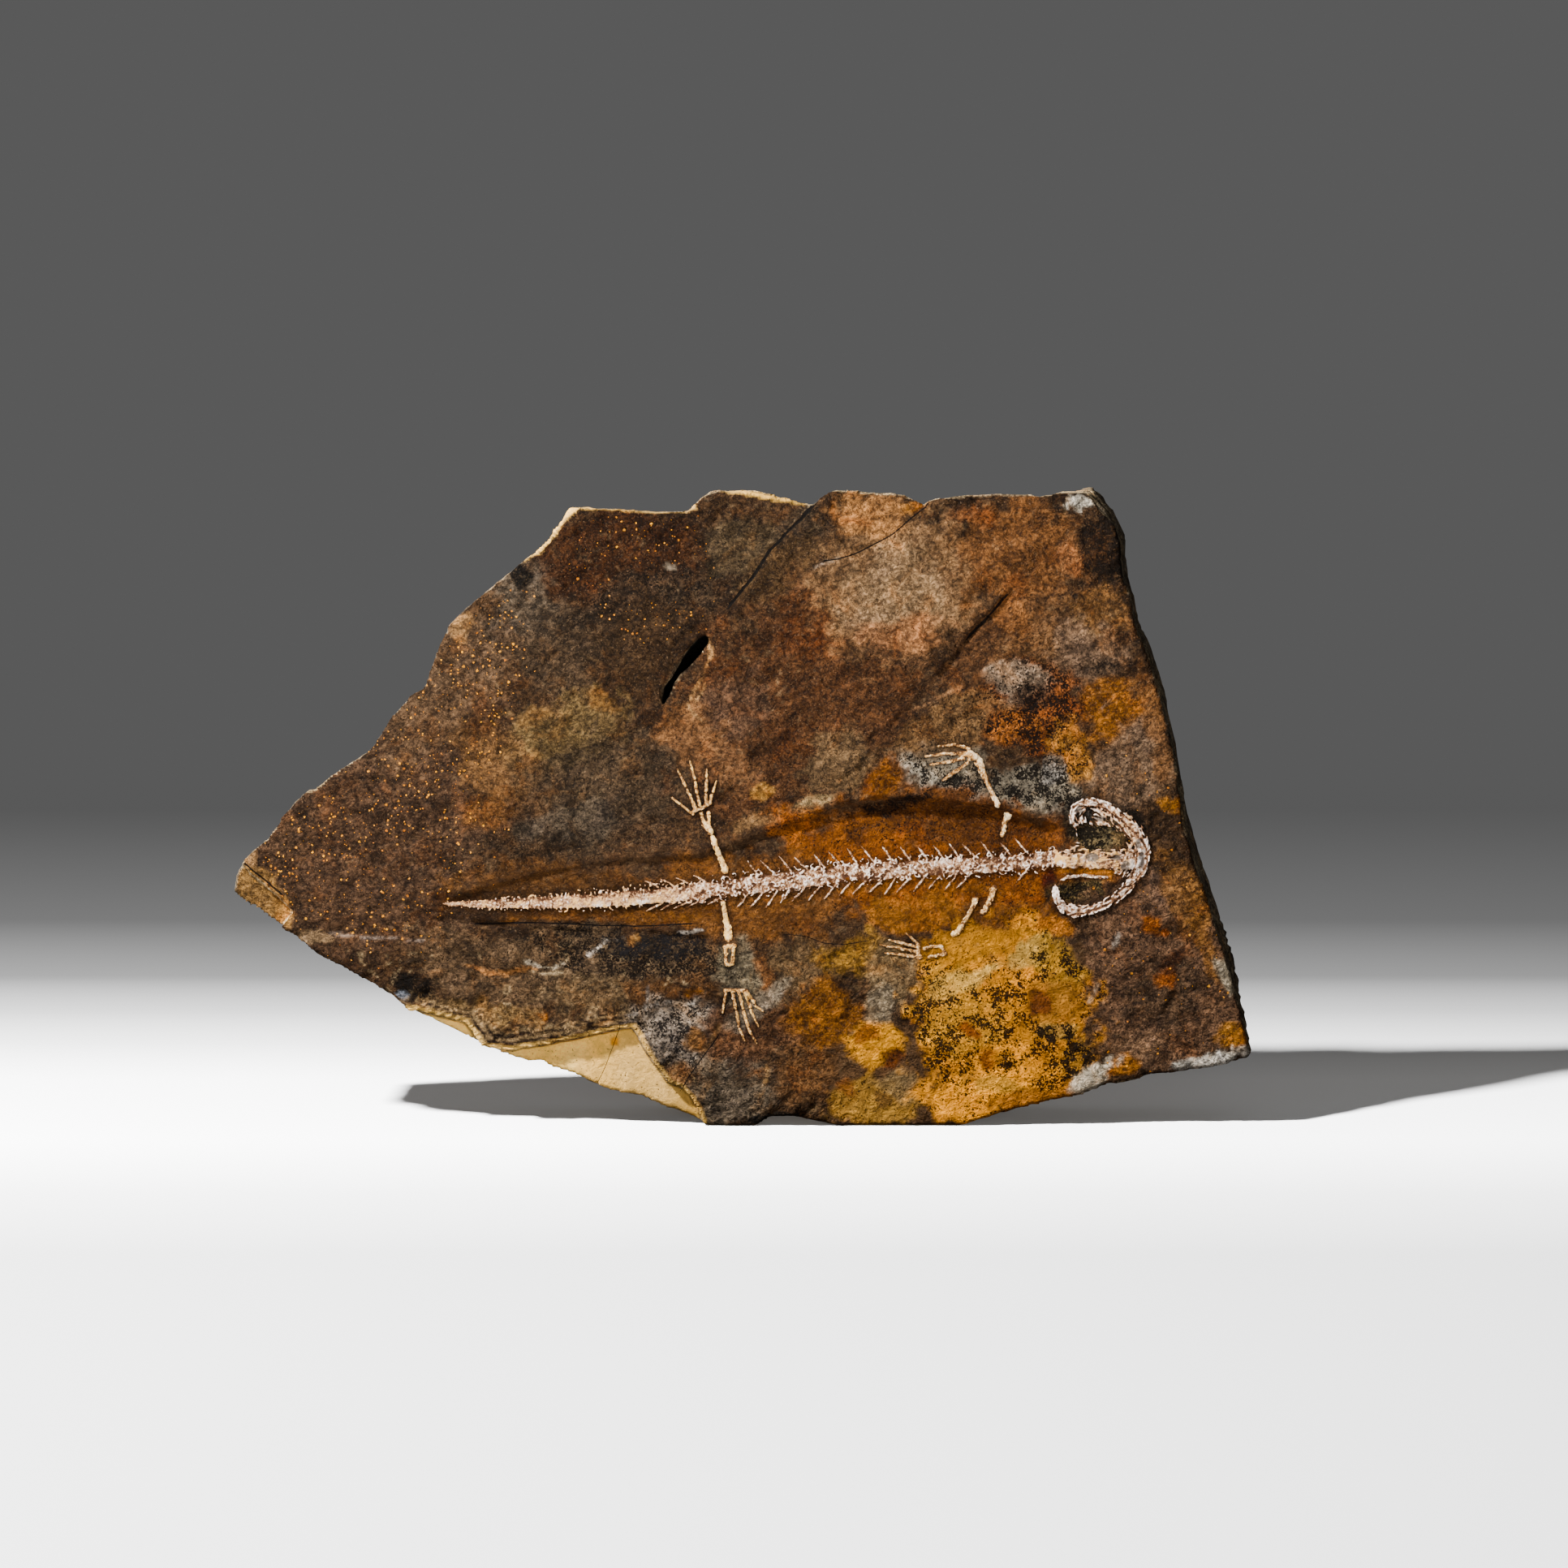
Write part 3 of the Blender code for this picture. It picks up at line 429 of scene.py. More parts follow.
    ("rust ring, left", 1190, 1265, 14, 10, 0, "#86460f", 0.9, 0.9, 0.8, "#4a2407", 0.1),
    ("rust ring, low", 1216, 1298, 15, 12, 20, "#7c4311", 0.9, 0.9, 0.8, "#42210a", 0.1),
    ("rust ring, far left", 1097, 1300, 14, 11, 0, "#4d260a", 0.95, 0.9, 0.7, "#241104", 0.12),
    ("rust in yellow left", 1066, 1272, 14, 10, 0, "#7c4a12", 0.9, 0.9, 0.8, "#4c2204", 0.1),
    ("ring low left", 1083, 1350, 9, 9, 0, "#5c4326", 0.8, 0.6, 0.4, "#33240f", 0.12),
    ("brown ring", 1040, 1333, 14, 12, 0, "#8a5726", 0.8, 0.7, 0.3, "#4f3013", 0.08),
    ("black blotch", 1321, 1302, 16, 22, 25, "#a07c30", 0.7, 0.8, 1.0, "#0a0705", 0.72),
    ("black blotch, upper", 1300, 1270, 26, 13, 10, "#b08e48", 0.9, 0.6, 0.4, "#0a0705", 0.52),
    ("black dots", 1246, 1300, 14, 12, 20, "#8a6420", 0.5, 0.8, 0.6, "#0f0b07", 0.6),
    ("black foot line", 955, 1376, 34, 6, -8, "#14110e", 0.95, 0.5, 0.5, "#0d0b09", 0.3),
    ("tan nodule", 936, 966, 13, 12, 0, "#d9a75e", 0.97, 0.15, 0.0, "#a06f30", 0.12),
    ("small nodule", 778, 1155, 8, 8, 0, "#a37d4e", 0.95, 0.2, 0.0, "#6b4a24", 0.1),
    ("white fleck", 826, 702, 7, 5, 0, "#aa9c8e", 0.85, 0.7, 0.9, "#7d736b", 0.08),
    ("white corner", 1319, 615, 16, 13, 20, "#cfc7bb", 0.95, 0.6, 0.7, "#8d857c", 0.08),
    ("white low right", 1342, 1325, 30, 10, -26, "#c2b8aa", 0.95, 0.5, 0.7, "#7d7468", 0.08),
    ("white lowest right", 1500, 1300, 44, 8, -14, "#bab3aa", 0.92, 0.6, 0.8, "#4a443e", 0.12),
    ("tip, tan", 318, 1098, 26, 34, -30, "#a98656", 0.85, 0.5, 0.4, "#523a20", 0.12),
    ("tip, pale rim", 306, 1048, 12, 16, 30, "#c19a76", 0.9, 0.5, 0.3, "#7a5a40", 0.08),
    ("tip, inner wall", 346, 1112, 10, 16, -20, "#b58b52", 0.9, 0.5, 0.3, "#6b4a26", 0.08),
    ("rim chip", 574, 764, 16, 12, -40, "#b08c68", 0.9, 0.5, 0.4, "#7a604a", 0.1),
    ("rim chip, low left", 386, 1152, 20, 6, 10, "#a8917c", 0.8, 0.6, 0.5, "#5b4a3c", 0.08),
]

# thin pale or dark veins as (line, width in units, colour, strength)
veins = [
    ([(572, 1186), (588, 1190), (602, 1197), (622, 1198), (640, 1193), (656, 1190)], 5, "#c88a4c", 0.9),
    ([(648, 1184), (664, 1189), (680, 1190), (694, 1183)], 4, "#d2c4aa", 0.9),
    ([(652, 1194), (672, 1198), (690, 1196)], 2.5, "#c2ab86", 0.8),
    ([(872, 788), (876, 804), (866, 828), (854, 850), (846, 868)], 3, "#c2935c", 0.9),
    ([(862, 832), (866, 846), (858, 862)], 2.5, "#b08a5c", 0.7),
    ([(846, 868), (852, 878), (866, 888)], 3, "#b08a5c", 0.7),
    ([(1128, 870), (1150, 858), (1180, 846)], 6, "#a97c55", 0.6),
    ([(722, 1174), (734, 1166), (742, 1158), (756, 1156), (772, 1150)], 2.5, "#c5bcb2", 0.8),
    ([(776, 1252), (792, 1240), (808, 1234), (830, 1232), (856, 1236)], 4, "#9a9590", 0.8),
    ([(836, 1146), (850, 1146), (862, 1143)], 2.5, "#c5bcb2", 0.8),
    ([(790, 1240), (798, 1228), (796, 1214)], 4, "#948c84", 0.6),
    ([(403, 1147), (450, 1151), (520, 1155)], 3, "#8d8078", 0.6),
    ([(1030, 690), (1013, 694), (1000, 700)], 3, "#a89684", 0.6),
    ([(938, 1334), (944, 1322), (942, 1312)], 5, "#b08d5c", 0.8),
    ([(866, 1292), (878, 1274), (884, 1262)], 4, "#8c6a44", 0.7),
    ([(1348, 1210), (1344, 1222), (1338, 1232)], 5, "#a09282", 0.6),
    ([(1375, 1148), (1372, 1158), (1366, 1166)], 4, "#a8a098", 0.7),
    ([(1352, 872), (1368, 856)], 3, "#c8bcb4", 0.6),
    ([(650, 1262), (640, 1240), (662, 1226)], 4, "#8f7452", 0.7),
]

paleBreak = [(500, 1236), (536, 1243), (574, 1254), (588, 1272), (595, 1285), (628, 1288), (659, 1283),
             (699, 1275), (732, 1268), (758, 1263), (779, 1259), (789, 1273), (805, 1302), (824, 1330),
             (841, 1337), (852, 1347), (862, 1365), (871, 1390), (760, 1400), (560, 1330), (480, 1250)]
topBreaks = [
    [(648, 692), (667, 682), (680, 668), (690, 655), (699, 641), (707, 634), (716, 629), (712, 616),
     (690, 616), (642, 680)],
    [(704, 620), (706, 629), (730, 630), (760, 630), (800, 633), (846, 632), (856, 628), (852, 618),
     (780, 618)],
    [(884, 600), (880, 607), (910, 611), (940, 616), (968, 621), (990, 624), (990, 616), (940, 604)],
]


def nearLine(u, v, line):
    # distance to the line in units, and which side of its run the point is on
    best = np.full(len(u), farAway)
    side = np.zeros(len(u))
    for (u0, v0), (u1, v1) in zip(line, line[1:]):
        du, dv = u1 - u0, v1 - v0
        t = np.clip(((u - u0) * du + (v - v0) * dv) / (du * du + dv * dv), 0, 1)
        away = np.hypot(u - u0 - t * du, v - v0 - t * dv)
        turn = np.sign(du * (v - v0) - dv * (u - u0))
        closer = away < best
        best = np.where(closer, away, best)
        side = np.where(closer, turn, side)
    return best, side


def insideOf(u, v, outline):
    # signed distance to a closed outline in units, positive inside
    away = nearLine(u, v, outline + outline[:1])[0]
    odd = np.zeros(len(u), bool)
    for (u0, v0), (u1, v1) in zip(outline, outline[1:] + outline[:1]):
        crosses = (v0 > v) != (v1 > v)
        at = u0 + (v - v0) / (v1 - v0 if v1 != v0 else 1) * (u1 - u0)
        odd ^= crosses & (u < at)
    return np.where(odd, away, -away)


def slabMesh():
    bm = bmesh.new()
    bm.from_mesh(slabNode.data)
    bmesh.ops.remove_doubles(bm, verts=bm.verts, dist=0.001 * mm)
    rough = fused(bm, "slab", slabLook["voxel"])
    mesh = applied(rough)
    points, normals = pointsOf(mesh)
    behind = (points[:, 1] > frontY + 4.5 * mm) | (normals[:, 1] > -0.15) & (points[:, 1] > frontY + 1.2 * mm)
    rough = linked("slabRough", mesh)
    group = rough.vertex_groups.new(name="thinned")
    group.add([int(i) for i in np.flatnonzero(behind)], 1.0, 'REPLACE')
    thin = rough.modifiers.new("thin the back", 'DECIMATE')
    thin.ratio = slabLook["restKept"]
    thin.vertex_group = "thinned"
    smooth = rough.modifiers.new("worn", 'SMOOTH')
    smooth.factor = 0.5
    smooth.iterations = 2
    return applied(rough)


def between(hexFrom, hexTo, share):
    return linear(hexFrom) + (linear(hexTo) - linear(hexFrom)) * share[:, None]


def lay(ground, colour, cover):
    # a colour over the ground, as far as it covers
    ground += (colour - ground) * cover[:, None]


def slabPiece():
    mesh = slabMesh()
    points, normals = pointsOf(mesh)
    p = points / mm
    u, v = reading(points)
    deep = (points[:, 1] - frontY) / mm
    front = ease(0.25, 0.75, -normals[:, 1]) * (deep < 6)
    back = ease(0.3, 0.8, normals[:, 1])
    side = 1 - np.maximum(front, back)

    hollow = ease(-14, 6, insideOf(u, v, hollowOutline))
    fresh = ease(-1.5, 1.5, insideOf(u, v, paleBreak)) * front
    rough = 1 - 0.55 * hollow - 0.75 * fresh
    inYellow = ease(-10, 10, insideOf(u, v, yellowField))
    height = slabLook["swell"] * cloud(p, 9, 3, 3) + slabLook["grain"] * cloud(p, 2.4, 3, 5) * rough
    height += slabLook["grit"] * cloud(p, 1.5, 1, 9) * rough
    height *= np.where(front > 0.5, rough * 0.6 + 0.4, 1)
    # long scars of the split run up to the right, and thin flakes end in small steps
    c, s = math.cos(slabLook["splitTurn"]), math.sin(slabLook["splitTurn"])
    along = np.column_stack([0.36 * (p[:, 0] * c + p[:, 2] * s), p[:, 1], p[:, 2] * c - p[:, 0] * s])
    scarred = front * rough * (1 - 0.7 * inYellow) * (1 - 0.55 * fade("calmRight", u)) * (1 - 0.9 * fresh)
    height += slabLook["scar"] * cloud(along, 5.5, 3, 13, 0.6) * scarred
    flake = 3.4 * cloud(0.55 * p + 0.45 * along, 15, 4, 17, 0.6)
    flakeEdge = ease(0.36, 0.64, flake - np.floor(flake))
    flaked = front * (1 - 0.5 * hollow) * (1 - 0.65 * inYellow) * (1 - 0.95 * fresh)
    height += slabLook["flake"] * (np.floor(flake) + flakeEdge) * flaked
    # the thin beds above the fresh break end one behind the other
    bedAway = -insideOf(u, v, paleBreak) + 5 * cloud(p, 7, 4, 19, 0.6)
    inBeds = front * ease(-1, 1, bedAway) * ease(26, 10, bedAway + 7 * cloud(p, 12, 2, 33))
    inBeds *= (0.06 + 0.94 * fade("bedsLeft", u)) * fade("bedsTip", u)
    bedStep = stepped(bedAway / slabLook["bedWidth"], 0.3)
    height += inBeds * slabLook["bedDrop"] * (bedStep - 2) + slabLook["freshRise"] * fresh
    for line, drop, reach in steps:
        away, turn = nearLine(u, v, line)
        height -= front * drop * ease(-1.5, 2.5, -away * turn + 0.5) * (1 - ease(0, reach, away))
    for line, half in cracks:
        away = nearLine(u, v, line)[0]
        height -= front * min(0.9, half * 2.2) * np.exp(-(away / (2.0 + half * 5)) ** 2)
    for cu, cv, radius, rise in nodules:
        height += front * rise * (1 - ease(0.5, 1.15, np.hypot(u - cu, v - cv) / radius))
    # the hollow is shallow at the tail and deeper beside the trunk
    height += front * hollow * (1.15 - 0.3 * fade("trunk", u)) * fade("hollowFoot", v)
    wall = insideOf(u, v, hollowOutline) + 1.5 * cloud(p, 4, 3, 29)
    wallFoot = ease(-0.5, 3, wall) * ease(56, 10, wall) * fade("wallTop", v) * fade("wallRight", u)
    height -= front * 0.85 * wallFoot
    height -= front * 0.5 * hollow * fade("tailFoot", v) * fade("tailLeft", u)
    lobeAway = np.hypot((u - lobe[0]) / lobe[2], (v - lobe[1]) / lobe[3])
    height += front * 0.45 * (1 - ease(0.2, 1.1, lobeAway))
    # the beds show as ledges round the broken sides and as low terraces on the back
    bedding = bumps(p * (0.06, 1.1, 0.06), 1.0, 21) + 0.5 * bumps(p * (0.15, 3.1, 0.15), 1.0, 23)
    height += side * (slabLook["bedding"] * bedding + 0.35 * cloud(p, 6, 3, 27) + 0.1)
    height += back * (slabLook["terrace"] * stepped(cloud(p, 34, 3, 31) * 2.2, 0.35) - 0.5)
    height *= np.where(points[:, 2] < 3 * mm, ease(0.2, 3.0, p[:, 2]), 1)
    points = points + normals * (height * mm)[:, None]
    # the broken top and right side fall back a little behind the front's edge
    points[:, 2] *= 1 - 0.00036 * np.clip(deep, 0, 30)
    points[:, 0] -= 0.00028 * np.clip(deep, 0, 30) * np.maximum(points[:, 0], 0)
    points[:, 2] = np.clip(points[:, 2], 0, place(0, topEdge)[1] - 1.3 * mm * fade("cornerChip", u))
    points[:, 0] = np.clip(points[:, 0], slabLow[0] - 1.5 * mm, slabHigh[0] + 1.5 * mm)
    mesh.vertices.foreach_set("co", points.ravel())

    # the stains, each with an uneven, crumbling edge
    wanderU = slabLook["wander"] * cloud(p, 11, 4, 41, 0.65)
    wanderV = slabLook["wander"] * cloud(p, 11, 4, 43, 0.65)
    fine = cloud(p, 3.4, 3, 47, 0.85)
    ragged = cloud(p, 9, 4, 49, 0.8)
    tone = cloud(p, 26, 4, 51, 0.6)[:, None]
    pigment = stained("#4c3a2d") + (stained("#6b5340") - stained("#3a2c22")) * tone * 0.4
    speck = np.tile(stained("#2a201a"), (len(p), 1))
    share = np.full(len(p), 0.12)
    for name, cu, cv, ru, rv, turn, colour, strength, soft, broken, speckColour, speckShare in stains:
        c, s = math.cos(math.radians(turn)), math.sin(math.radians(turn))
        gain = min(1.0, min(ru, rv) / 11)
        du, dv = u + wanderU * gain - cu, v + wanderV * gain - cv
        away = np.hypot((du * c + dv * s) / ru, (-du * s + dv * c) / rv)
        band = 0.1 + soft * 0.22
        edge = away + (0.22 + 0.3 * soft) * ragged + (0.18 + 0.45 * broken) * fine
        cover = (1 - ease(1 - band, 1 + band, edge)) * strength * (front > 0.02)
        lay(pigment, 0.8 * linear(colour) if name.startswith("bright") else stained(colour), cover)
        lay(speck, stained(speckColour), cover)
        share += (speckShare - share) * cover
    for line, width, colour, strength in veins:
        away = nearLine(u + wanderU * 0.15, v + wanderV * 0.15, line)[0]
        cover = strength * (1 - ease(0.15, 0.75, away / width + 0.55 * fine + 0.5 * ragged)) * front
        lay(pigment, 0.55 * linear(colour) * (1, 0.92, 0.82), cover)
        share -= 0.6 * share * cover

    # the yellow field is brighter, the beds are striped, and the edges of the flakes are paler, partly their
    # own pale stone and partly painted light on the edges
    pigment *= (1 + 0.34 * inYellow * front)[:, None]
    stripe = ease(0.25, 0.7, 0.5 + 0.5 * np.cos(bedAway * 0.78) + 0.5 * fine)
    lay(pigment, between("#1d1510", "#8a6f4a", stripe), 0.7 * inBeds)
    lowerLeft = fade("low", v) * fade("left", u)
    paleAndLitEdge = front * ease(0.55, 0.95, 4 * flakeEdge * (1 - flakeEdge)) * (0.1 + 0.4 * lowerLeft)
    lay(pigment, 0.8 * linear("#b0946a"), paleAndLitEdge * ease(0.1, 0.5, ragged))
    # the stone is darker where it meets a bone: partly its stain, partly painted shade round the bone's foot
    contact = np.full(len(p), farAway)
    limbLines = [stroke for rise, strokes in limbStrokes.values() for stroke in strokes]
    for line in [spineLine, skullRim, *limbLines]:
        away = nearLine(u, v, [(a, b) for a, b, w in line])[0]
        contact = np.minimum(contact, away - 0.45 * line[len(line) // 2][2])
    pigment *= (1 - 0.5 * front * np.exp(-(np.maximum(contact, 0) / 4) ** 2))[:, None]

    gold = 1.2 * ease(-30, 40, insideOf(u, v, goldField)) * (1 - 0.6 * fade("goldLow", v))
    gold = np.maximum(gold, 0.22 * fade("goldRight", u) * fade("goldRightFoot", v) * front)
    gold = np.maximum(gold, 0.8 * ease(-10, 20, insideOf(u, v, topGoldField)))
    # painted light: the left of the fresh break is painted up to 1.4 times paler, against the shade that the
    # beds above it cast there
    freshStone = np.tile(linear("#dba952"), (len(p), 1)) * (1 + 0.4 * fade("freshShadeLift", u))[:, None]
    freshStone += (linear("#dcb880") - linear("#b08a50")) * cloud(p, 14, 3, 61)[:, None] * 0.4
    cu, cv, radius, rise = nodules[-1]
    lay(freshStone, linear("#c27d0c"), 1 - ease(0.7, 1.2, np.hypot(u - cu, v - cv) / radius + 0.3 * fine))
    top = np.zeros(len(p))
    for outline in topBreaks:
        top = np.maximum(top, ease(-1.5, 1.5, insideOf(u, v, outline) + 1.5 * fine))
    pale = np.maximum(fresh, top * (front > 0.01))
    sideTone = bumps(p * (0.05, 0.8, 0.05), 1.0, 71)
    sideStone = between("#a8916c", "#6f5a42", ease(-0.3, 0.7, sideTone + 0.5 * fine))
    # painted shade: right of darkSideFrom the side that faces away from the light is painted dark grey
    lay(sideStone, linear("#4a4438"), 0.75 * ease(0.2, 0.6, normals[:, 0]) * (u > darkSideFrom))
    backTone = cloud(p, 20, 4, 81)[:, None]
    backStone = linear("#6b5645") + (linear("#8f7553") - linear("#4b3d33")) * backTone * 0.6
    rim = ease(0.35, 0.75, side + 0.25 * fine) * (deep > 0.6)
    lay(pigment, sideStone, rim * (1 - pale))
    lay(pigment, backStone, back)
    lay(pigment, freshStone, pale)
    behind = np.maximum(rim, back)
    lay(speck, linear("#3a2d22"), behind)
    share += (0.16 - share) * behind
    share *= 1 - 0.97 * pale
    gold *= front * (1 - pale)
    # painted shade: the slot is too deep for light to reach in, so its stone and specks are painted nearly
    # black
    inSlot = ease(0.4, 1.3, deep) * (back < 0.5)
    inSlot *= (np.abs(u - slotHole[0]) < slotHole[2]) * (np.abs(v - slotHole[1]) < slotHole[3])
    for name, colours in (("pigment", pigment), ("speck", speck)):
        colours *= (1 - 0.985 * inSlot)[:, None]
        paint(mesh, name, np.clip(colours, 0.001, 1))
    grit = 1 - 0.3 * hollow - 0.6 * ease(-10, 10, insideOf(u, v, yellowField) + 10 * ragged) * front
    grit = np.minimum(grit, 1 - 0.4 * ease(-10, 10, insideOf(u, v, patina)) * front) * (1 - inSlot)
    paint(mesh, "masks", np.column_stack([share, gold, pale, grit]))
    nearest = np.full(len(p), farAway)
    for name, group in (("cracks1", cracks[:4]), ("cracks2", cracks[4:])):
        channels = []
        for line, half in group:
            away, turn = nearLine(u + wanderU * 0.08, v + wanderV * 0.08, line)
            channels.append(np.clip(away * turn * 0.2 / half, -12, 12))
            nearest = np.minimum(nearest, away)
        paint(mesh, name, np.column_stack(channels))
    # past its ends the sign of a crack's distance flips, so a crack shows close to its line alone
    paint(mesh, "crackNear", (ease(6.5, 4, nearest) * (front > 0.3))[:, None])
    print("slab:", trianglesOf(mesh), "triangles")
    return mesh


hollowOutline = [(545, 1098), (600, 1080), (650, 1067), (730, 1052), (800, 1045), (860, 1042), (900, 1030),
                 (960, 1010), (1000, 1000), (1030, 985), (1080, 978), (1130, 978), (1170, 982), (1225, 990),
                 (1270, 1003), (1300, 1012), (1320, 1060), (1300, 1112), (1280, 1140), (1225, 1150),
                 (1170, 1155), (1110, 1155), (1060, 1157), (960, 1150), (880, 1145), (790, 1140),
                 (700, 1137), (620, 1130), (560, 1121)]
yellowField = [(1130, 1160), (1200, 1145), (1290, 1140), (1335, 1170), (1330, 1260), (1345, 1320),
               (1290, 1360), (1200, 1384), (1020, 1384), (1030, 1280), (1090, 1260), (1140, 1280)]
patina = [(1120, 905), (1200, 915), (1230, 940), (1290, 940), (1330, 985), (1230, 992), (1110, 978)]
goldField = [(300, 1060), (390, 975), (480, 900), (540, 830), (600, 740), (640, 730), (650, 800),
             (640, 880), (590, 960), (610, 1060), (560, 1100), (540, 1170), (420, 1170), (340, 1110)]
topGoldField = [(700, 630), (860, 640), (900, 700), (860, 780), (760, 790), (690, 700)]


# the noises of the stone: with the split grain or not, mm between bumps, detail, roughness, distortion
stoneNoises = {
    "grit": ("grained", 1.0, 5, 0.66, 0.3),
    "crease": ("grained", 2.2, 5, 0.62, 0.7),
    "wrinkle": ("grained", 2.8, 6, 0.54, 0.5),
    "mottle": ("plain", 5.0, 5, 0.62, 0.5),
    "warmth": ("plain", 8.0, 6, 0.68, 0.8),
    "dust": ("plain", 0.5, 3, 0.8, 0),
    "crust": ("plain", 0.52, 3, 0.66, 0.4),
    "clump": ("plain", 3.8, 4, 0.7, 0),
    "swarm": ("plain", 9.0, 3, 0.7, 0),
    "crackEdge": ("plain", 1.2, 4, 0.7, 0),
}


def stoneMaterial():
    # Iron-stained shale, split by hand: matt and gritty, with black and golden grains and a cream break.
    material, add, shader, coords = newMaterial("ironStainedShale")
    painted = {name: add("Attribute", {}, {"attribute_name": name})
               for name in ("pigment", "speck", "masks", "cracks1", "cracks2", "crackNear")}
    share, gold, pale = add("SeparateColor", [painted["masks"]["Color"]])
    # the split grain runs up to the right, so its crumbs are longer that way
    grained = add("Mapping", {"Vector": coords, "Rotation": (0, math.radians(40), 0),
                                        "Scale": (0.86, 1, 1)})[0]
    noise = {}
    for name, (where, size, detail, roughness, warp) in stoneNoises.items():
        inputs = {"Vector": grained if where == "grained" else coords, "Scale": 1 / size, "Detail": detail,
                  "Roughness": roughness, "Distortion": warp}
        noise[name] = add("TexNoise", inputs)["Fac"]
    calm = add("Math", [pale, -0.8, 1.0], plusTimes)[0]
    amount = add("Math", [calm, painted["masks"]["Alpha"]], times)[0]

    # grit, mottle and creases darken and lift the pigment, strongly on weathered stone and little on the
    # fresh break: the grit and creases also shape the bump, so this is painted shade in their low places and
    # painted light on their high ones; the mottle is the stone's own tone
    crease = add("Math", [noise["crease"], 0.5], minus)[0]
    crease = add("Math", [crease], positive)[0]
    toneAndShade = 1.0
    for levels in ([noise["grit"], 0.36, 0.64, 0.5, 1.66], [noise["mottle"], 0.34, 0.66, 0.56, 1.5],
                   [crease, 0.0, 0.05, 0.5, 1.1]):
        toneAndShade = add("Math", [toneAndShade, add("MapRange", levels, softly)[0]], times)[0]
    toneAndShade = add("Math", [toneAndShade, 1.0], minus)[0]
    toneAndShade = add("Math", [toneAndShade, amount, 1.0], plusTimes)[0]
    colour = add("VectorMath", {0: painted["pigment"]["Color"], "Scale": toneAndShade}, {"operation": 'SCALE'})[0]
    for low, high, tint in ((0.5, 0.68, (1.2, 0.96, 0.72, 1)), (0.48, 0.34, (0.86, 0.86, 0.92, 1))):
        tinted = add("MapRange", [noise["warmth"], low, high], softly)[0]
        tinted = add("Math", [tinted, amount], times)[0]
        colour = add("Mix", {0: tinted, 6: colour, 7: tint}, tinting)[2]
    # pale dust flecks, which are also painted highlights on the grain
    dustAndGlint = add("MapRange", [noise["dust"], 0.59, 0.67, 0.0, 0.28], softly)[0]
    dustAndGlint = add("Math", [dustAndGlint, amount], times)[0]
    colour = add("Mix", {0: dustAndGlint, 6: colour, 7: colourOf("#9c7a58")}, over)[2]

    # ragged mineral crusts in clumps, as many as the share says
    wanted = add("MapRange", [noise["clump"], 0.36, 0.64, 0.35, 1.65], softly)[0]
    wanted = add("Math", [share, wanted], times)[0]
    least = add("Math", [wanted, -0.42, 0.66], plusTimes)[0]
    isSpeck = add("Math", [noise["crust"], least], minus)[0]
    isSpeck = add("MapRange", [isSpeck, -0.006, 0.01], softly)[0]
    cover = add("Math", [isSpeck, 0.96], times)[0]
    colour = add("Mix", {0: cover, 6: colour, 7: painted["speck"]["Color"]}, over)[2]

    # golden-orange grains of iron mineral, up to 0.6 mm, in swarms over the left of the slab
    shaken = add("TexNoise", {"Vector": coords, "Scale": 2.2, "Detail": 2.0})["Color"]
    shaken = add("VectorMath", [shaken, (0.5, 0.5, 0.5), coords], plusTimes)[0]
    dots = add("TexVoronoi", {"Vector": shaken, "Scale": 1 / 0.95})
    luck, bulk, tone = add("SeparateColor", [dots["Color"]])
    radius = add("Math", [bulk, 3.5], {"operation": 'POWER'})[0]
    radius = add("Math", [radius, 0.26, 0.1], plusTimes)[0]
    swarm = add("MapRange", [noise["swarm"], 0.38, 0.62, 0.12, 1.0], softly)[0]
    wanted = add("Math", [gold, swarm], times)[0]
    inDot = add("Math", [dots["Distance"], radius], isLess)[0]
    lucky = add("Math", [luck, wanted], isLess)[0]
    isDot = add("Math", [inDot, lucky], times)[0]
    dotColour = add("Mix", {0: tone, 6: colourOf("#f0a014"), 7: colourOf("#b0600e")}, over)[2]
    colour = add("Mix", {0: isDot, 6: colour, 7: dotColour}, over)[2]

    # the cracks, each painted near black where its channel is close to nought: painted shade in the cracks
    edge = add("Math", [noise["crackEdge"], 1.6, 0.2], plusTimes)[0]
    crack = 0.0
    for name in ("cracks1", "cracks2"):
        for channel in (*add("SeparateColor", [painted[name]["Color"]]), painted[name]["Alpha"]):
            away = add("Math", [channel], positive)[0]
            line = add("Math", [away, edge], isLess)[0]
            crack = add("Math", [crack, line], {"operation": 'MAXIMUM'})[0]
    near = add("SeparateColor", [painted["crackNear"]["Color"]])[0]
    near = add("MapRange", [near, 0.3, 0.6], softly)[0]
    crack = add("Math", [crack, near], times)[0]
    cover = add("Math", [crack, 0.95], times)[0]
    colour = add("Mix", {0: cover, 6: colour, 7: colourOf("#0c0907")}, over)[2]

    # leathery wrinkles, with finer grit on them
    height = add("Math", [crease, 0.14], {"operation": 'MINIMUM'})[0]
    height = add("Math", [height, 1.1, noise["wrinkle"]], plusTimes)[0]
    height = add("Math", [noise["grit"], 0.25, height], plusTimes)[0]
    height = add("Math", [height, calm], times)[0]
    height = add("Math", [crack, -0.6, height], plusTimes)[0]
    height = add("Math", [isSpeck, -0.05, height], plusTimes)[0]
    bump = add("Bump", {"Strength": 1.0, "Distance": 1.9 * mm, "Height": height})[0]
    gloss = add("MapRange", [noise["grit"], 0.3, 0.7, 0.62, 0.9], softly)[0]
    setInputs(shader, {"Base Color": colour, "Roughness": gloss, "Specular IOR Level": 0.06, "Normal": bump})
    return material


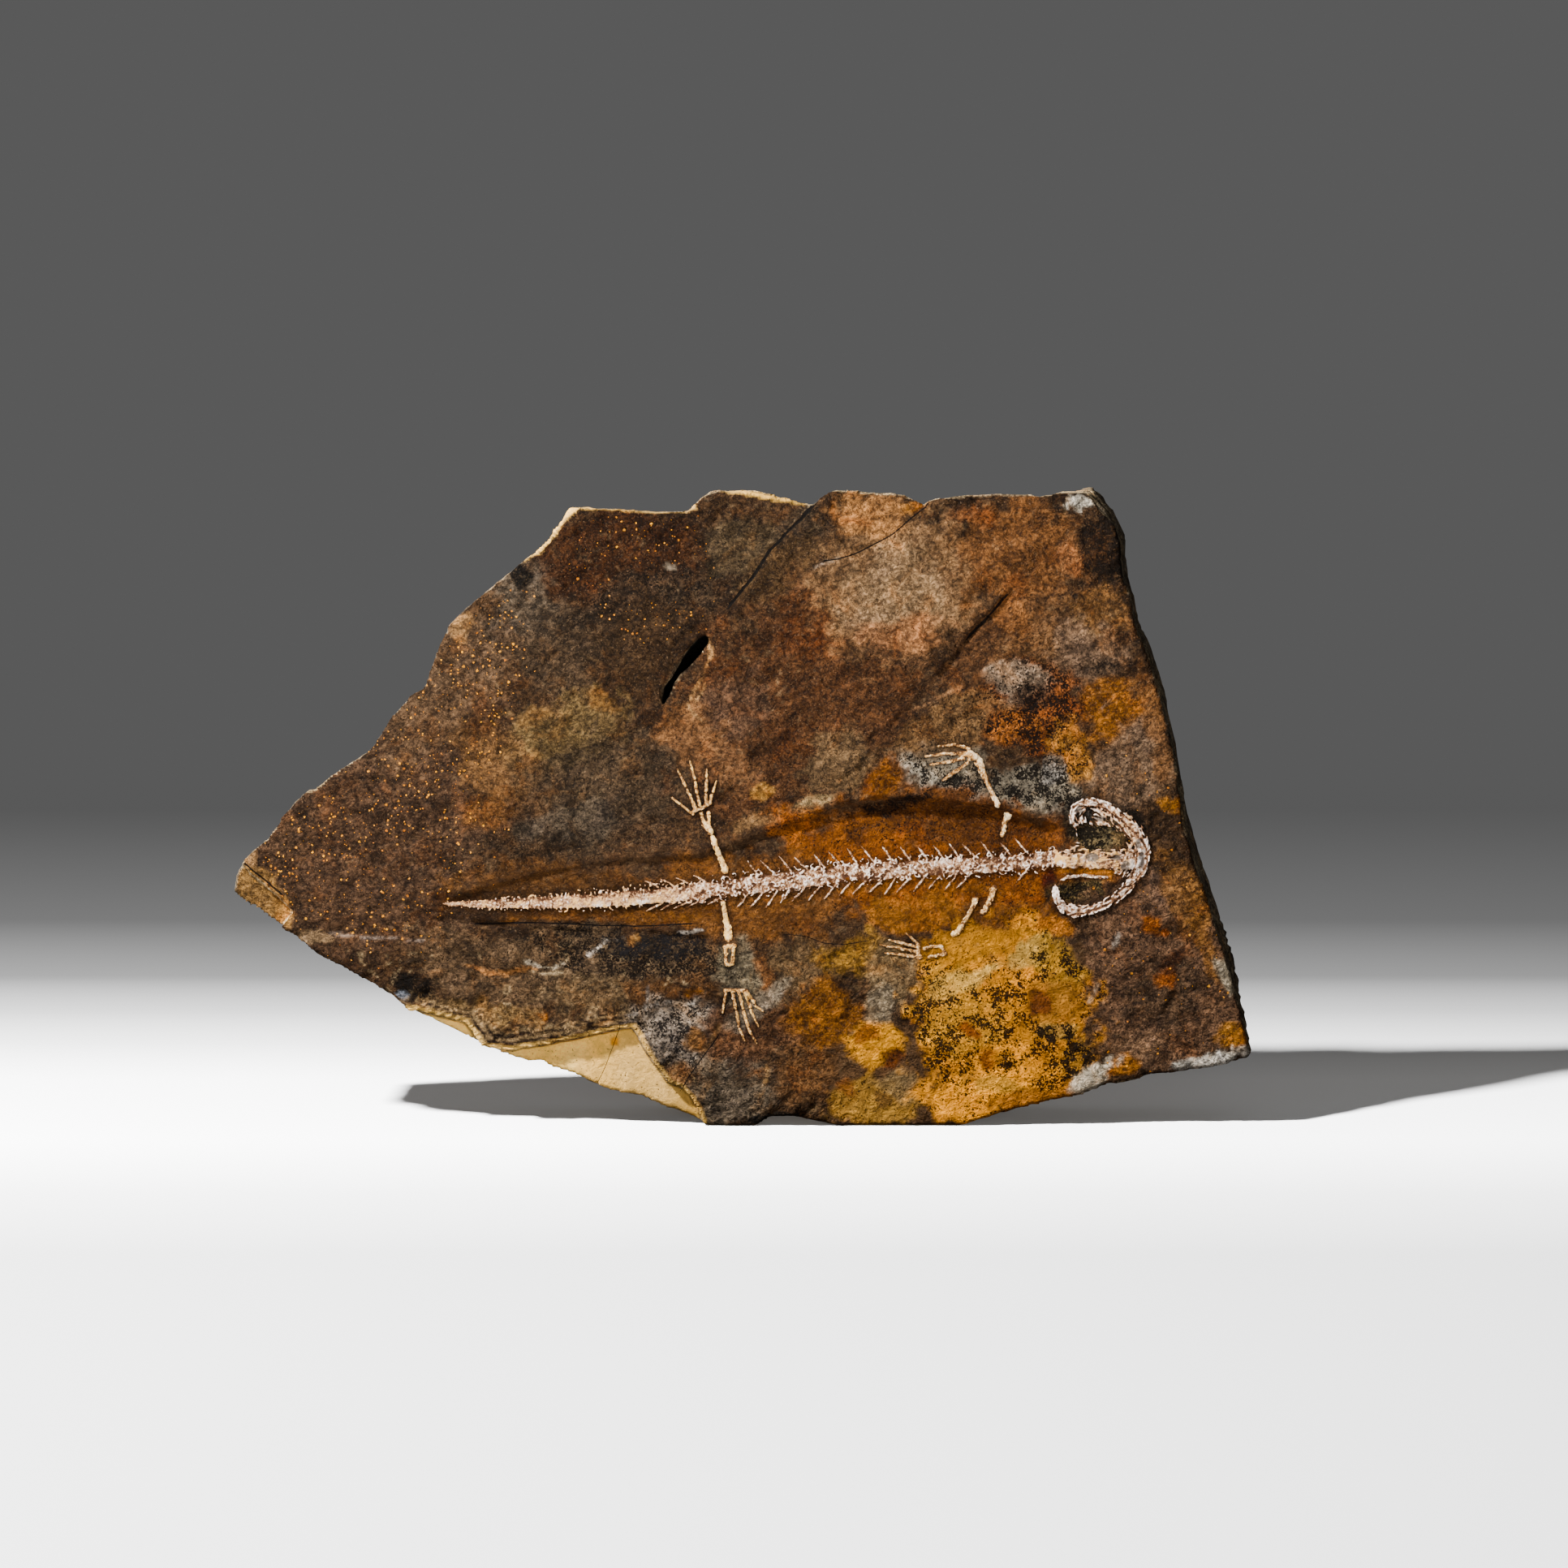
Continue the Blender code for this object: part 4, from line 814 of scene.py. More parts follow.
# the bones
def boneMaterial(name, high, middle, low, cream):
    # Mineralised bone: chalky and matt, pale on its worn tops and brown where it meets the stone, partly
    # stain and partly painted shade at the bone's foot.
    material, add, shader, coords = newMaterial(name)
    painted = add("Attribute", {}, {"attribute_name": "rise"})["Color"]
    rise, grey, creamy = add("SeparateColor", [painted])
    grain = add("TexNoise", {"Vector": coords, "Scale": 1 / 0.5, "Detail": 5, "Roughness": 0.75})["Fac"]
    patch = add("TexNoise", {"Vector": coords, "Scale": 1 / 1.7, "Detail": 4, "Roughness": 0.7,
                                       "Distortion": 0.3})["Fac"]
    level = add("Math", [grain, 1.9, rise], plusTimes)[0]
    level = add("Math", [patch, 1.2, level], plusTimes)[0]
    level = add("Math", [level, 1.6], minus)[0]
    inPatch = add("MapRange", [patch, 0.34, 0.58], softly)[0]
    creamy = add("Math", [creamy, inPatch], times)[0]
    top = add("Mix", {0: creamy, 6: colourOf(high), 7: colourOf(cream)}, over)[2]
    colour = colourOf(low)
    for first, last, upper in ((0.08, 0.32, colourOf(middle)), (0.3, 0.7, top)):
        cover = add("MapRange", [level, first, last], softly)[0]
        colour = add("Mix", {0: cover, 6: colour, 7: upper}, over)[2]
    greyed = add("Math", [grey, 0.31, patch], plusTimes)[0]
    greyed = add("MapRange", [greyed, 0.7, 0.84, 0.0, 0.85], softly)[0]
    colour = add("Mix", {0: greyed, 6: colour, 7: colourOf("#5c544c")}, over)[2]
    gloss = add("MapRange", [grain, 0.3, 0.7, 0.6, 0.9], softly)[0]
    bump = add("Bump", {"Strength": 1.0, "Distance": 0.4 * mm, "Height": grain})[0]
    setInputs(shader, {"Base Color": colour, "Roughness": gloss, "Specular IOR Level": 0.2, "Normal": bump})
    return material


def stoneAt(x, z):
    # how far back the dressed slab's face is here
    hit = stoneTree.ray_cast(Vector((x, -60 * mm, z)), Vector((0, 1, 0)))[0]
    return hit.y if hit else frontY


def addLumps(bm, lumps):
    # flattened balls as (u, v, length, width, rise in mm, turn in degrees) that lie half in the stone
    small = bmesh.new()
    for u, v, length, width, rise, turn in lumps:
        x, z = place(u, v)
        matrix = Matrix.Translation((x, stoneAt(x, z) - 0.1 * rise * mm, z))
        matrix = matrix @ Matrix.Rotation(math.radians(turn), 4, 'Y')
        matrix = matrix @ Matrix.Diagonal((length * 0.1 * mm, rise * mm, width * 0.1 * mm, 1))
        bmesh.ops.create_icosphere(small, subdivisions=2, radius=1.0, matrix=matrix)
    mesh = bpy.data.meshes.new("lumps")
    small.to_mesh(mesh)
    small.free()
    bm.from_mesh(mesh)
    bpy.data.meshes.remove(mesh)


def core(line, rise):
    # the low middle of a bone, as a row of overlapping lumps along (u, v, width)
    lumps = []
    for (u0, v0, w0), (u1, v1, w1) in zip(line, line[1:]):
        length = math.hypot(u1 - u0, v1 - v0)
        turn = math.degrees(math.atan2(v1 - v0, u1 - u0))
        count = max(1, math.ceil(length / (0.45 * min(w0, w1))))
        for k in range(count + 1):
            t = k / count
            width = w0 + (w1 - w0) * t
            lumps.append((u0 + (u1 - u0) * t, v0 + (v1 - v0) * t, width * 0.95, width * 0.84, rise, turn))
    return lumps


def splinters(line, rise, dice, crowd=1.0, size=2.2):
    # the split, fibrous skin of a bone: slivers that lie along it, closer together where crowd is high
    lumps = []
    for (u0, v0, w0), (u1, v1, w1) in zip(line, line[1:]):
        length = math.hypot(u1 - u0, v1 - v0)
        turn = math.degrees(math.atan2(v1 - v0, u1 - u0))
        across = ((v0 - v1) / length, (u1 - u0) / length)
        for _ in range(math.ceil(crowd * length * (w0 + w1) / 34)):
            t = dice.uniform(0, 1)
            width = w0 + (w1 - w0) * t
            off = dice.uniform(-0.5, 0.5) * max(0.5, width - 0.6 * size)
            thick = size * dice.uniform(0.5, 1.0)
            lumps.append((u0 + (u1 - u0) * t + across[0] * off, v0 + (v1 - v0) * t + across[1] * off,
                          thick * dice.uniform(1.8, 4.2), thick, rise * dice.uniform(0.65, 1.1),
                          turn + dice.uniform(-13, 13)))
    return lumps


lumpsAtOnce = 80  # more of them in one bmesh take far longer


def bonePiece(name, node, lumpLists, look, material, slot):
    bm = bmesh.new()
    for lumps in lumpLists:
        for first in range(0, len(lumps), lumpsAtOnce):
            addLumps(bm, lumps[first:first + lumpsAtOnce])
    rough = fused(bm, name, look["voxel"])
    thin = rough.modifiers.new("fewer faces", 'DECIMATE')
    thin.ratio = look["kept"]
    mesh = applied(rough)
    points, normals = pointsOf(mesh)
    p = points / mm
    height = look["crumble"] * cloud(p, look["crumbSize"], 3, 5, 0.7)
    height += look["pits"] * np.minimum(0, bumps(p, 0.7, 8) + 0.2)
    points = points + normals * (height * mm)[:, None]
    mesh.vertices.foreach_set("co", points.ravel())
    ground = np.array([stoneAt(x, z) for x, y, z in points])
    rise = np.clip((ground - points[:, 1]) / (look["tall"] * mm), 0, 1)
    u, v = reading(points)
    greyed, cream = look["tones"](u, v)
    for seam in look.get("seams", ()):
        away = nearLine(u + 1.5 * cloud(p, 2, 2, 15), v, seam)[0]
        rise *= 1 - 0.9 * np.exp(-(away / 1.4) ** 2)
    paint(mesh, "rise", np.column_stack([rise, greyed, cream]))
    print(name + ":", trianglesOf(mesh), "triangles")
    return finished(mesh, name, material, slot, node)


# for the bones: voxel in mm, share of faces kept, mm of crumbling and of pits, and how tall the palest is
spineLook = {
    "voxel": 0.15, "kept": 0.5, "crumble": 0.06, "crumbSize": 0.7, "pits": 0.17, "tall": 0.6,
    "tones": lambda u, v: (np.full(len(u), 0.15), 0.25 + 0.7 * fade("creamTail", u)),
    "vertebrae": 37, "seed": 4,
    "tailTo": 800, "crustTo": 860, "archesFrom": 850, "youngTo": 905,
    # the ribs of each side: which side, from where to where, how far apart, and the gaps with none
    "ribs": ((-1, 806, 1268, 20.4, ((868, 912),)), (1, 812, 1266, 17.8, ((884, 908), (1206, 1242)))),
}
spineLine = [(546, 1110, 4), (560, 1110.5, 9), (600, 1110.5, 15), (660, 1109, 21), (720, 1106.6, 25),
             (780, 1102, 28), (850, 1095.7, 30), (900, 1089.5, 30), (960, 1083, 33), (1040, 1073, 31),
             (1100, 1069, 30), (1150, 1066, 28), (1240, 1061, 29), (1298, 1054, 26)]


def onSpine(share):
    u = spineLine[0][0] + share * (spineLine[-1][0] - spineLine[0][0])
    for a, b in zip(spineLine, spineLine[1:]):
        if a[0] <= u <= b[0]:
            t = (u - a[0]) / (b[0] - a[0])
            return u, a[1] + t * (b[1] - a[1]), a[2] + t * (b[2] - a[2])
    return spineLine[-1]


def spineLumps():
    dice = np.random.default_rng(spineLook["seed"])
    every = [core([(u, v, max(2, w * 0.9)) for u, v, w in spineLine if u < spineLook["crustTo"]], 0.24),
             core([(u, v, w * 0.94) for u, v, w in spineLine if u >= spineLook["archesFrom"]], 0.13)]
    count = spineLook["vertebrae"]
    pitch = (spineLine[-1][0] - spineLine[0][0]) / count
    for number in range(count):
        u, v, width = onSpine((number + 0.5) / count)
        inTail = u < spineLook["tailTo"]
        lumps = []
        if inTail:
            # a short spool: its rims stand as ribs across the tail
            for at in (-0.4, 0.0, 0.36):
                for part in range(3):
                    share = (part - 1) / 3 + dice.uniform(-0.08, 0.08)
                    length = width * dice.uniform(0.14, 0.22)
                    thick = 2.0 * min(1, width / 15) * dice.uniform(0.7, 1.2)
                    lumps.append((u + at * pitch - share * 2, v + share * width, length, thick,
                                  0.5 * dice.uniform(0.75, 1.1), 86 + dice.uniform(-16, 16)))
        else:
            # a crushed spool under curled, broken arches
            lumps.append((u, v + dice.uniform(-2, 2), pitch * 0.26, width * 0.2, 0.4, dice.uniform(-20, 20)))
            for arch in range(8):
                cu = u + dice.uniform(-0.5, 0.5) * pitch
                cv = v + (arch - 4) / 9 * width + dice.uniform(-1.5, 1.5)
                radius = dice.uniform(2.4, 4.6)
                start = dice.uniform(0, 360)
                for k in range(int(dice.uniform(4, 8))):
                    angle = math.radians(start + k * 115 / radius)
                    lumps.append((cu + radius * math.cos(angle), cv + 0.8 * radius * math.sin(angle), 1.7,
                                  dice.uniform(0.9, 1.3), dice.uniform(0.4, 0.62), math.degrees(angle) + 90))
        for _ in range(int(13 * min(1.2, width / 22)) + 1):
            size = dice.uniform(1.0, 2.2) * min(1, width / 14)
            lumps.append((u + dice.uniform(-0.5, 0.5) * pitch, v + dice.uniform(-0.55, 0.55) * width,
                          size * dice.uniform(1.2, 3.0), size, dice.uniform(0.32, 0.6), dice.uniform(0, 180)))
        every.append(lumps)
    for side, first, last, step, gaps in spineLook["ribs"]:
        at = first
        while at < last:
            u, v, width = onSpine((at - spineLine[0][0]) / (spineLine[-1][0] - spineLine[0][0]))
            gap = any(start < at < end for start, end in gaps)
            young = at < spineLook["youngTo"]
            lean = dice.uniform(12, 17) * (1.3 if young else 1)
            reach = dice.uniform(15, 20) * (0.5 if young else 1)
            if not gap:
                root = (u + 3, v + side * width * 0.36)
                bow = dice.uniform(-1.2, 1.2)
                blade = [(root[0] - lean * t, root[1] + side * reach * t + bow * math.sin(math.pi * t), w)
                         for t, w in ((0, 2.6), (0.35, 3.4), (0.7, 3.8 if not young else 3.0), (1, 1.2))]
                every.append(core(blade, 0.24) + splinters(blade, 0.4, dice, 1.2, 1.5))
            at += step + dice.uniform(-2, 2)
    return every


skullSeams = [
    [(1320, 1004), (1322, 995), (1336, 989.5), (1352, 991), (1366, 999), (1380, 1010), (1393, 1022),
     (1404, 1034), (1408, 1046), (1409, 1058), (1404, 1073), (1395, 1088), (1381, 1100), (1364, 1110),
     (1346, 1118), (1326, 1124), (1310, 1125)],
    [(1372, 1012), (1383, 1024), (1392, 1036), (1397, 1050), (1396, 1064), (1390, 1078)],
    [(1383, 1044), (1396, 1048), (1411, 1050)],
]
greyPatches = [(1341, 1053, 9, 6), (1371, 1053, 8, 4), (1382, 1064, 6, 8), (1398, 1036, 4, 7),
               (1402, 1056, 4, 11), (1324, 996, 5, 8), (1350, 1005, 9, 4)]


def skullTones(u, v):
    # how greyed and how cream the bone is
    greyed = np.full(len(u), 0.1)
    for cu, cv, ru, rv in greyPatches:
        greyed = np.maximum(greyed, 1.3 * (1 - ease(0.7, 1.2, np.hypot((u - cu) / ru, (v - cv) / rv))))
    inBar = fade("barRight", u) * fade("barTop", v) * fade("barFoot", v)
    inField = fade("fieldLeft", u) * fade("fieldRight", u) * fade("fieldTop", v) * fade("fieldFoot", v)
    return greyed, np.maximum(np.maximum(inBar, 0.8 * inField), 0.2)


skullLook = {
    "voxel": 0.15, "kept": 0.6, "crumble": 0.07, "crumbSize": 0.7, "pits": 0.16, "tall": 0.52,
    "tones": skullTones, "seams": skullSeams, "flakes": 2600, "seed": 12,
}
skullRim = [(1320, 1016, 6), (1316, 1006, 9), (1317, 996, 11), (1323, 988, 11), (1334, 984, 11),
            (1350, 986, 12), (1364, 994, 14), (1378, 1005, 16), (1390, 1018, 18), (1399, 1032, 21),
            (1403, 1046, 23), (1402, 1060, 23), (1396, 1074, 20), (1387, 1087, 17), (1376, 1099, 14),
            (1362, 1109, 13), (1346, 1116, 13), (1330, 1120, 14), (1315, 1121, 15), (1304, 1112, 13),
            (1298, 1102, 10), (1296, 1093, 7), (1297, 1087, 4)]
underBar = [(1303, 1081, 3), (1311, 1077, 5), (1330, 1075.5, 6), (1346, 1077, 6), (1360, 1078, 5)]
skullBar = [(1296, 1055, 22), (1340, 1056, 26), (1390, 1057, 28)]
skullOutline = [(1290, 1044), (1312, 1041), (1321, 1035), (1321, 1020), (1313, 1010), (1312, 997),
                (1316, 989), (1326, 982), (1338, 979), (1355, 982), (1372, 990), (1389, 1001), (1403, 1014),
                (1410, 1028), (1414, 1045), (1413, 1062), (1406, 1076), (1393, 1089), (1379, 1102),
                (1359, 1117), (1338, 1124), (1322, 1128), (1312, 1128), (1303, 1122), (1296, 1110),
                (1292, 1098), (1295, 1090), (1298, 1087), (1301, 1092), (1305, 1103), (1314, 1110),
                (1330, 1112), (1350, 1109), (1368, 1103), (1372, 1098), (1382, 1090), (1384, 1078),
                (1362, 1071), (1340, 1069), (1318, 1067), (1290, 1066)]
skullGaps = [
    [(1323, 1014), (1336, 1012), (1350, 1014), (1365, 1018), (1377, 1023), (1383, 1035), (1377, 1041),
     (1360, 1042), (1335, 1042), (1324, 1037)],
    [(1333, 992), (1340, 992), (1342, 1008), (1335, 1010)],
]


def beside(line, share, width):
    # the line moved outwards by a share of its width, with a width of its own
    moved = []
    for (u0, v0, w0), (u1, v1, w1) in zip(line, line[1:]):
        off = share * (w0 + w1) / 2 / math.hypot(u1 - u0, v1 - v0)
        moved.append(((u0 + u1) / 2 + (v1 - v0) * off, (v0 + v1) / 2 - (u1 - u0) * off, width))
    return moved


def mosaic(outline, gaps, guides, count, dice):
    # small flakes all over the outline but not in its gaps, each lying along the nearest guide
    box = np.array(outline)
    spots = dice.uniform(box.min(axis=0), box.max(axis=0), (count, 2))
    kept = insideOf(spots[:, 0], spots[:, 1], outline) > 0.8
    for gap in gaps:
        kept &= insideOf(spots[:, 0], spots[:, 1], gap) < -0.8
    runs = [(a, b) for guide in guides for a, b in zip(guide, guide[1:])]
    lumps = []
    for u, v in spots[kept]:
        middles = [math.hypot(u - (a[0] + b[0]) / 2, v - (a[1] + b[1]) / 2) for a, b in runs]
        a, b = runs[middles.index(min(middles))]
        turn = math.degrees(math.atan2(b[1] - a[1], b[0] - a[0]))
        size = dice.uniform(0.9, 1.8)
        lumps.append((u, v, size * dice.uniform(2.2, 6.0), size, dice.uniform(0.18, 0.46),
                      turn + dice.uniform(-12, 12)))
    return lumps


def skullLumps():
    dice = np.random.default_rng(skullLook["seed"])
    # crushed flat: a mosaic of flakes, with one thin lip round the outside of the rim and one inside it
    plate = [(u, v, 0.8 * w) for u, v, w in skullRim]
    every = [core(plate, 0.12), core(skullBar, 0.12),
             mosaic(skullOutline, skullGaps, [skullRim, skullBar], skullLook["flakes"], dice)]
    every.append(splinters(beside(skullRim, 0.4, 3), 0.62, dice, 2.4, 1.6))
    every.append(splinters(beside(skullRim, -0.34, 3), 0.5, dice, 1.5, 1.7))
    every.append(splinters(beside(skullBar[:2], 0.42, 3), 0.42, dice, 2.0, 1.6))
    every.append(core(underBar, 0.22) + splinters(underBar, 0.4, dice, 2.2, 1.8))
    return every


def limbTones(u, v):
    # greyed in the upper forelimb, cream in the hind limbs and in the lower upper arm
    inUpperArm = fade("upperArm", u) * fade("upperArmFoot", v)
    inLowerArm = fade("lowerArm", u) * fade("lowerArmTop", v)
    return 0.1 + 0.3 * inUpperArm, np.maximum(0.95 - 0.75 * fade("forelimbs", u), 0.8 * inLowerArm)


limbLook = {
    "voxel": 0.12, "kept": 0.6, "crumble": 0.06, "crumbSize": 0.8, "pits": 0.16, "tall": 0.58,
    "tones": limbTones,
}
limbStrokes = {
    "shoulder_bone_upper": (0.8, [[(1239, 1000, 12), (1237, 1006, 12), (1234, 1012, 8), (1233, 1020, 7),
                                   (1231, 1026, 8)]]),
    "humerus_upper": (0.75, [[(1202, 936, 14), (1205, 945, 12), (1209, 954, 9), (1215, 967, 8),
                              (1221, 980, 8), (1225, 988, 10)]]),
    "hand_upper": (0.62, [
        [(1199, 931, 12), (1190, 928, 16), (1180, 927, 11)],
        [(1190, 920, 5), (1172, 915, 4.5), (1152, 917, 3.5)],
        [(1184, 926, 5), (1160, 926, 4.5), (1137, 929, 3.5)],
        [(1183, 932, 5), (1162, 936, 4.5), (1143, 939, 3.5)],
        [(1188, 937, 5), (1174, 947, 5.5), (1158, 958, 3.5)]]),
    "shoulder_bone_lower": (0.9, [[(1221, 1092, 11), (1219, 1100, 11), (1215, 1108, 8), (1211, 1118, 10),
                                   (1208, 1121, 9)]]),
    "humerus_lower": (0.9, [[(1199, 1106, 10), (1194, 1117, 7), (1185, 1133, 7), (1177, 1145, 11),
                             (1172, 1148, 9)]]),
    "forearm_lower": (0.62, [
        [(1136, 1165.5, 5), (1148, 1163, 4.5), (1157, 1163, 6)],
        [(1142, 1176, 5), (1152, 1174, 4.5), (1162, 1172, 6)],
        [(1157, 1163, 5), (1160, 1168, 4.5), (1162, 1172, 5)]]),
    "hand_lower": (0.62, [
        [(1129, 1162, 6), (1129, 1170, 8), (1131, 1178, 6)],
        [(1128, 1160, 5), (1122, 1154, 4), (1114, 1147, 3)],
        [(1127, 1164, 5), (1110, 1159, 4.5), (1093, 1155, 3)],
        [(1127, 1170, 5), (1104, 1165, 4.5), (1082, 1161, 3)],
        [(1128, 1177, 5), (1108, 1173, 4.5), (1088, 1171, 3)]]),
    "femur_upper": (1.0, [[(891, 1068, 13), (889, 1062, 11), (884, 1050, 9), (880, 1040, 8),
                           (878, 1034, 10), (876, 1029, 9)]]),
    "shin_upper": (0.8, [
        [(873, 1021, 11), (870, 1017, 12), (867, 1012, 11)],
        [(868, 1014, 5), (864, 1006, 5), (862, 999, 6)],
        [(872, 1014, 5), (872, 1006, 5), (871, 999, 6)]]),
    "foot_upper": (0.7, [
        [(854, 995, 6), (864, 991, 7), (872, 987, 6)],
        [(852, 1000, 4.5), (840, 990, 4), (827, 980, 3)],
        [(855, 992, 5.5), (850, 981, 4.5), (845, 970, 4)],
        [(843, 965, 4.5), (838, 955, 4), (833, 945, 2.8)],
        [(860, 988, 5.5), (858, 978, 4.5)],
        [(857, 973, 5), (855, 961, 4.5)],
        [(854, 956, 4.5), (849, 936, 2.8)],
        [(868, 987, 5.5), (868, 976, 4.5)],
        [(868, 971, 5), (869, 958, 4.5)],
        [(869, 954, 4.5), (869, 945, 2.8)],
        [(873, 986, 5), (875, 977, 4.5)],
        [(877, 972, 4.5), (881, 959, 2.8)]]),
    "femur_lower": (1.0, [[(889, 1109, 8), (891, 1122, 8), (894, 1138, 11), (895, 1146, 14),
                           (896, 1152, 14)]]),
    "shin_lower": (0.7, [
        [(891, 1163, 7), (897, 1162, 9), (903, 1161, 7)],
        [(892, 1164, 6), (892, 1175, 5), (893, 1184, 6.5)],
        [(902, 1163, 6), (901, 1174, 5), (900, 1183, 6.5)],
        [(894, 1185, 5), (900, 1184, 5)]]),
    "foot_lower": (0.7, [
        [(891, 1217, 5), (904, 1217, 6), (918, 1218, 5)],
        [(892, 1218, 4.5), (890, 1232, 4), (888, 1245, 2.8)],
        [(900, 1219, 5), (904, 1240, 4.5)],
        [(905, 1244, 5), (908, 1262, 4.5)],
        [(909, 1265, 4.5), (915, 1280, 2.8)],
        [(908, 1219, 5), (913, 1240, 4.5)],
        [(914, 1244, 5), (919, 1262, 4.5)],
        [(920, 1265, 4.5), (930, 1283, 2.8)],
        [(915, 1219, 5), (922, 1238, 4.5)],
        [(923, 1242, 4.5), (932, 1262, 2.8)],
        [(918, 1219, 5), (928, 1234, 4.5)],
        [(929, 1237, 4), (938, 1243, 3)]]),
}


def shaft(line, rise, dice):
    # one long bone with a slim middle and a knob at each end
    slim = [(u, v, w * (1.12 if w < 7 else 0.96)) for u, v, w in line]
    knobs = [(u, v, 0.68 * w, 0.64 * w, 0.45 * rise, 0) for u, v, w in (line[0], line[-1])]
    return core(slim, 0.33 * rise) + splinters(slim, 0.52 * rise, dice, 1.4, 1.7) + knobs


# the stage
stageLook = {
    "floorNear": -3.0, "wallAt": 2.6, "halfWidth": 5.0, "wallTop": 3.0,
    # how pale the paper is, with a pool of light and its falloff painted in, and how much it glows by itself
    # as painted light, at each distance in mm behind the slab's middle
    "paleWithPaintedPool": [(-150, 0.33), (-90, 0.5), (-30, 0.85), (50, 0.74), (100, 0.39), (150, 0.18), (210, 0.05),
                 (320, 0.012), (600, 0.0)],
    "glows": [(60, 0.06), (180, 0.06), (320, 0.1), (700, 0.105)],
    "toneFrom": -400, "toneTo": 1000,
}


def sweep():
    # matt paper swept up behind the slab, with painted light: pale near it and falling off to dark grey
    bm = bmesh.new()
    wallAt, halfWidth = stageLook["wallAt"], stageLook["halfWidth"]
    line = [(stageLook["floorNear"], 0.0), (wallAt, 0.0), (wallAt, stageLook["wallTop"])]
    verts = [bm.verts.new((-halfWidth, y, z)) for y, z in line]
    edges = [bm.edges.new(pair) for pair in zip(verts, verts[1:])]
    made = bmesh.ops.extrude_edge_only(bm, edges=edges)
    moved = [g for g in made["geom"] if isinstance(g, bmesh.types.BMVert)]
    bmesh.ops.translate(bm, verts=moved, vec=(2 * halfWidth, 0, 0))
    bmesh.ops.recalc_face_normals(bm, faces=bm.faces)
    mesh = bpy.data.meshes.new("paperSweep")
    bm.to_mesh(mesh)
    bm.free()
    paper = linked("paperSweep", mesh)
    # Matt paper with a pool of light painted into its colour round the slab: its tone falls off to grey
    # towards the wall, and its glow is painted light on the backdrop and in the shadow.
    material, add, shader, coords = newMaterial("mattPaper")
    along = add("SeparateXYZ", [coords])[1]
    first, last = stageLook["toneFrom"], stageLook["toneTo"]
    tones = []
    for stops in (stageLook["paleWithPaintedPool"], stageLook["glows"]):
        share = add("MapRange", [along, first, last])[0]
        ramp = add("ValToRGB", [share])[0].node
        while len(ramp.color_ramp.elements) < len(stops):
            ramp.color_ramp.elements.new(0.5)
        for element, (where, tone) in zip(ramp.color_ramp.elements, stops):
            element.position = (where - first) / (last - first)
            element.color = (tone, tone, tone, 1)
        tones.append(ramp.outputs[0])
    setInputs(shader, {"Base Color": tones[0], "Emission Color": tones[1], "Emission Strength": 1.0,
                             "Roughness": 1.0, "Specular IOR Level": 0.0})
    mesh.materials.append(material)
    paper.visible_diffuse = False
    paper.visible_glossy = False
    return paper


def lamp(name, place, target, size, power, only=()):
    data = bpy.data.lights.new(name, 'AREA')
    data.energy = power
    data.shape = 'DISK'
    data.size = size
    made = linked(name, data)
    made.visible_camera = False
    made.location = place
    made.rotation_euler = (Vector(target) - Vector(place)).to_track_quat('-Z', 'Y').to_euler()
    if only:
        lit = bpy.data.collections.new(name + "Lights")
        for piece in only:
            lit.objects.link(piece)
        made.light_linking.receiver_collection = lit


# how far the camera stands off, how far down it looks in degrees, and the point it looks at in mm
cameraLook = {"away": 1.066, "down": 7, "right": 9.1, "up": 85.2, "lens": 100}


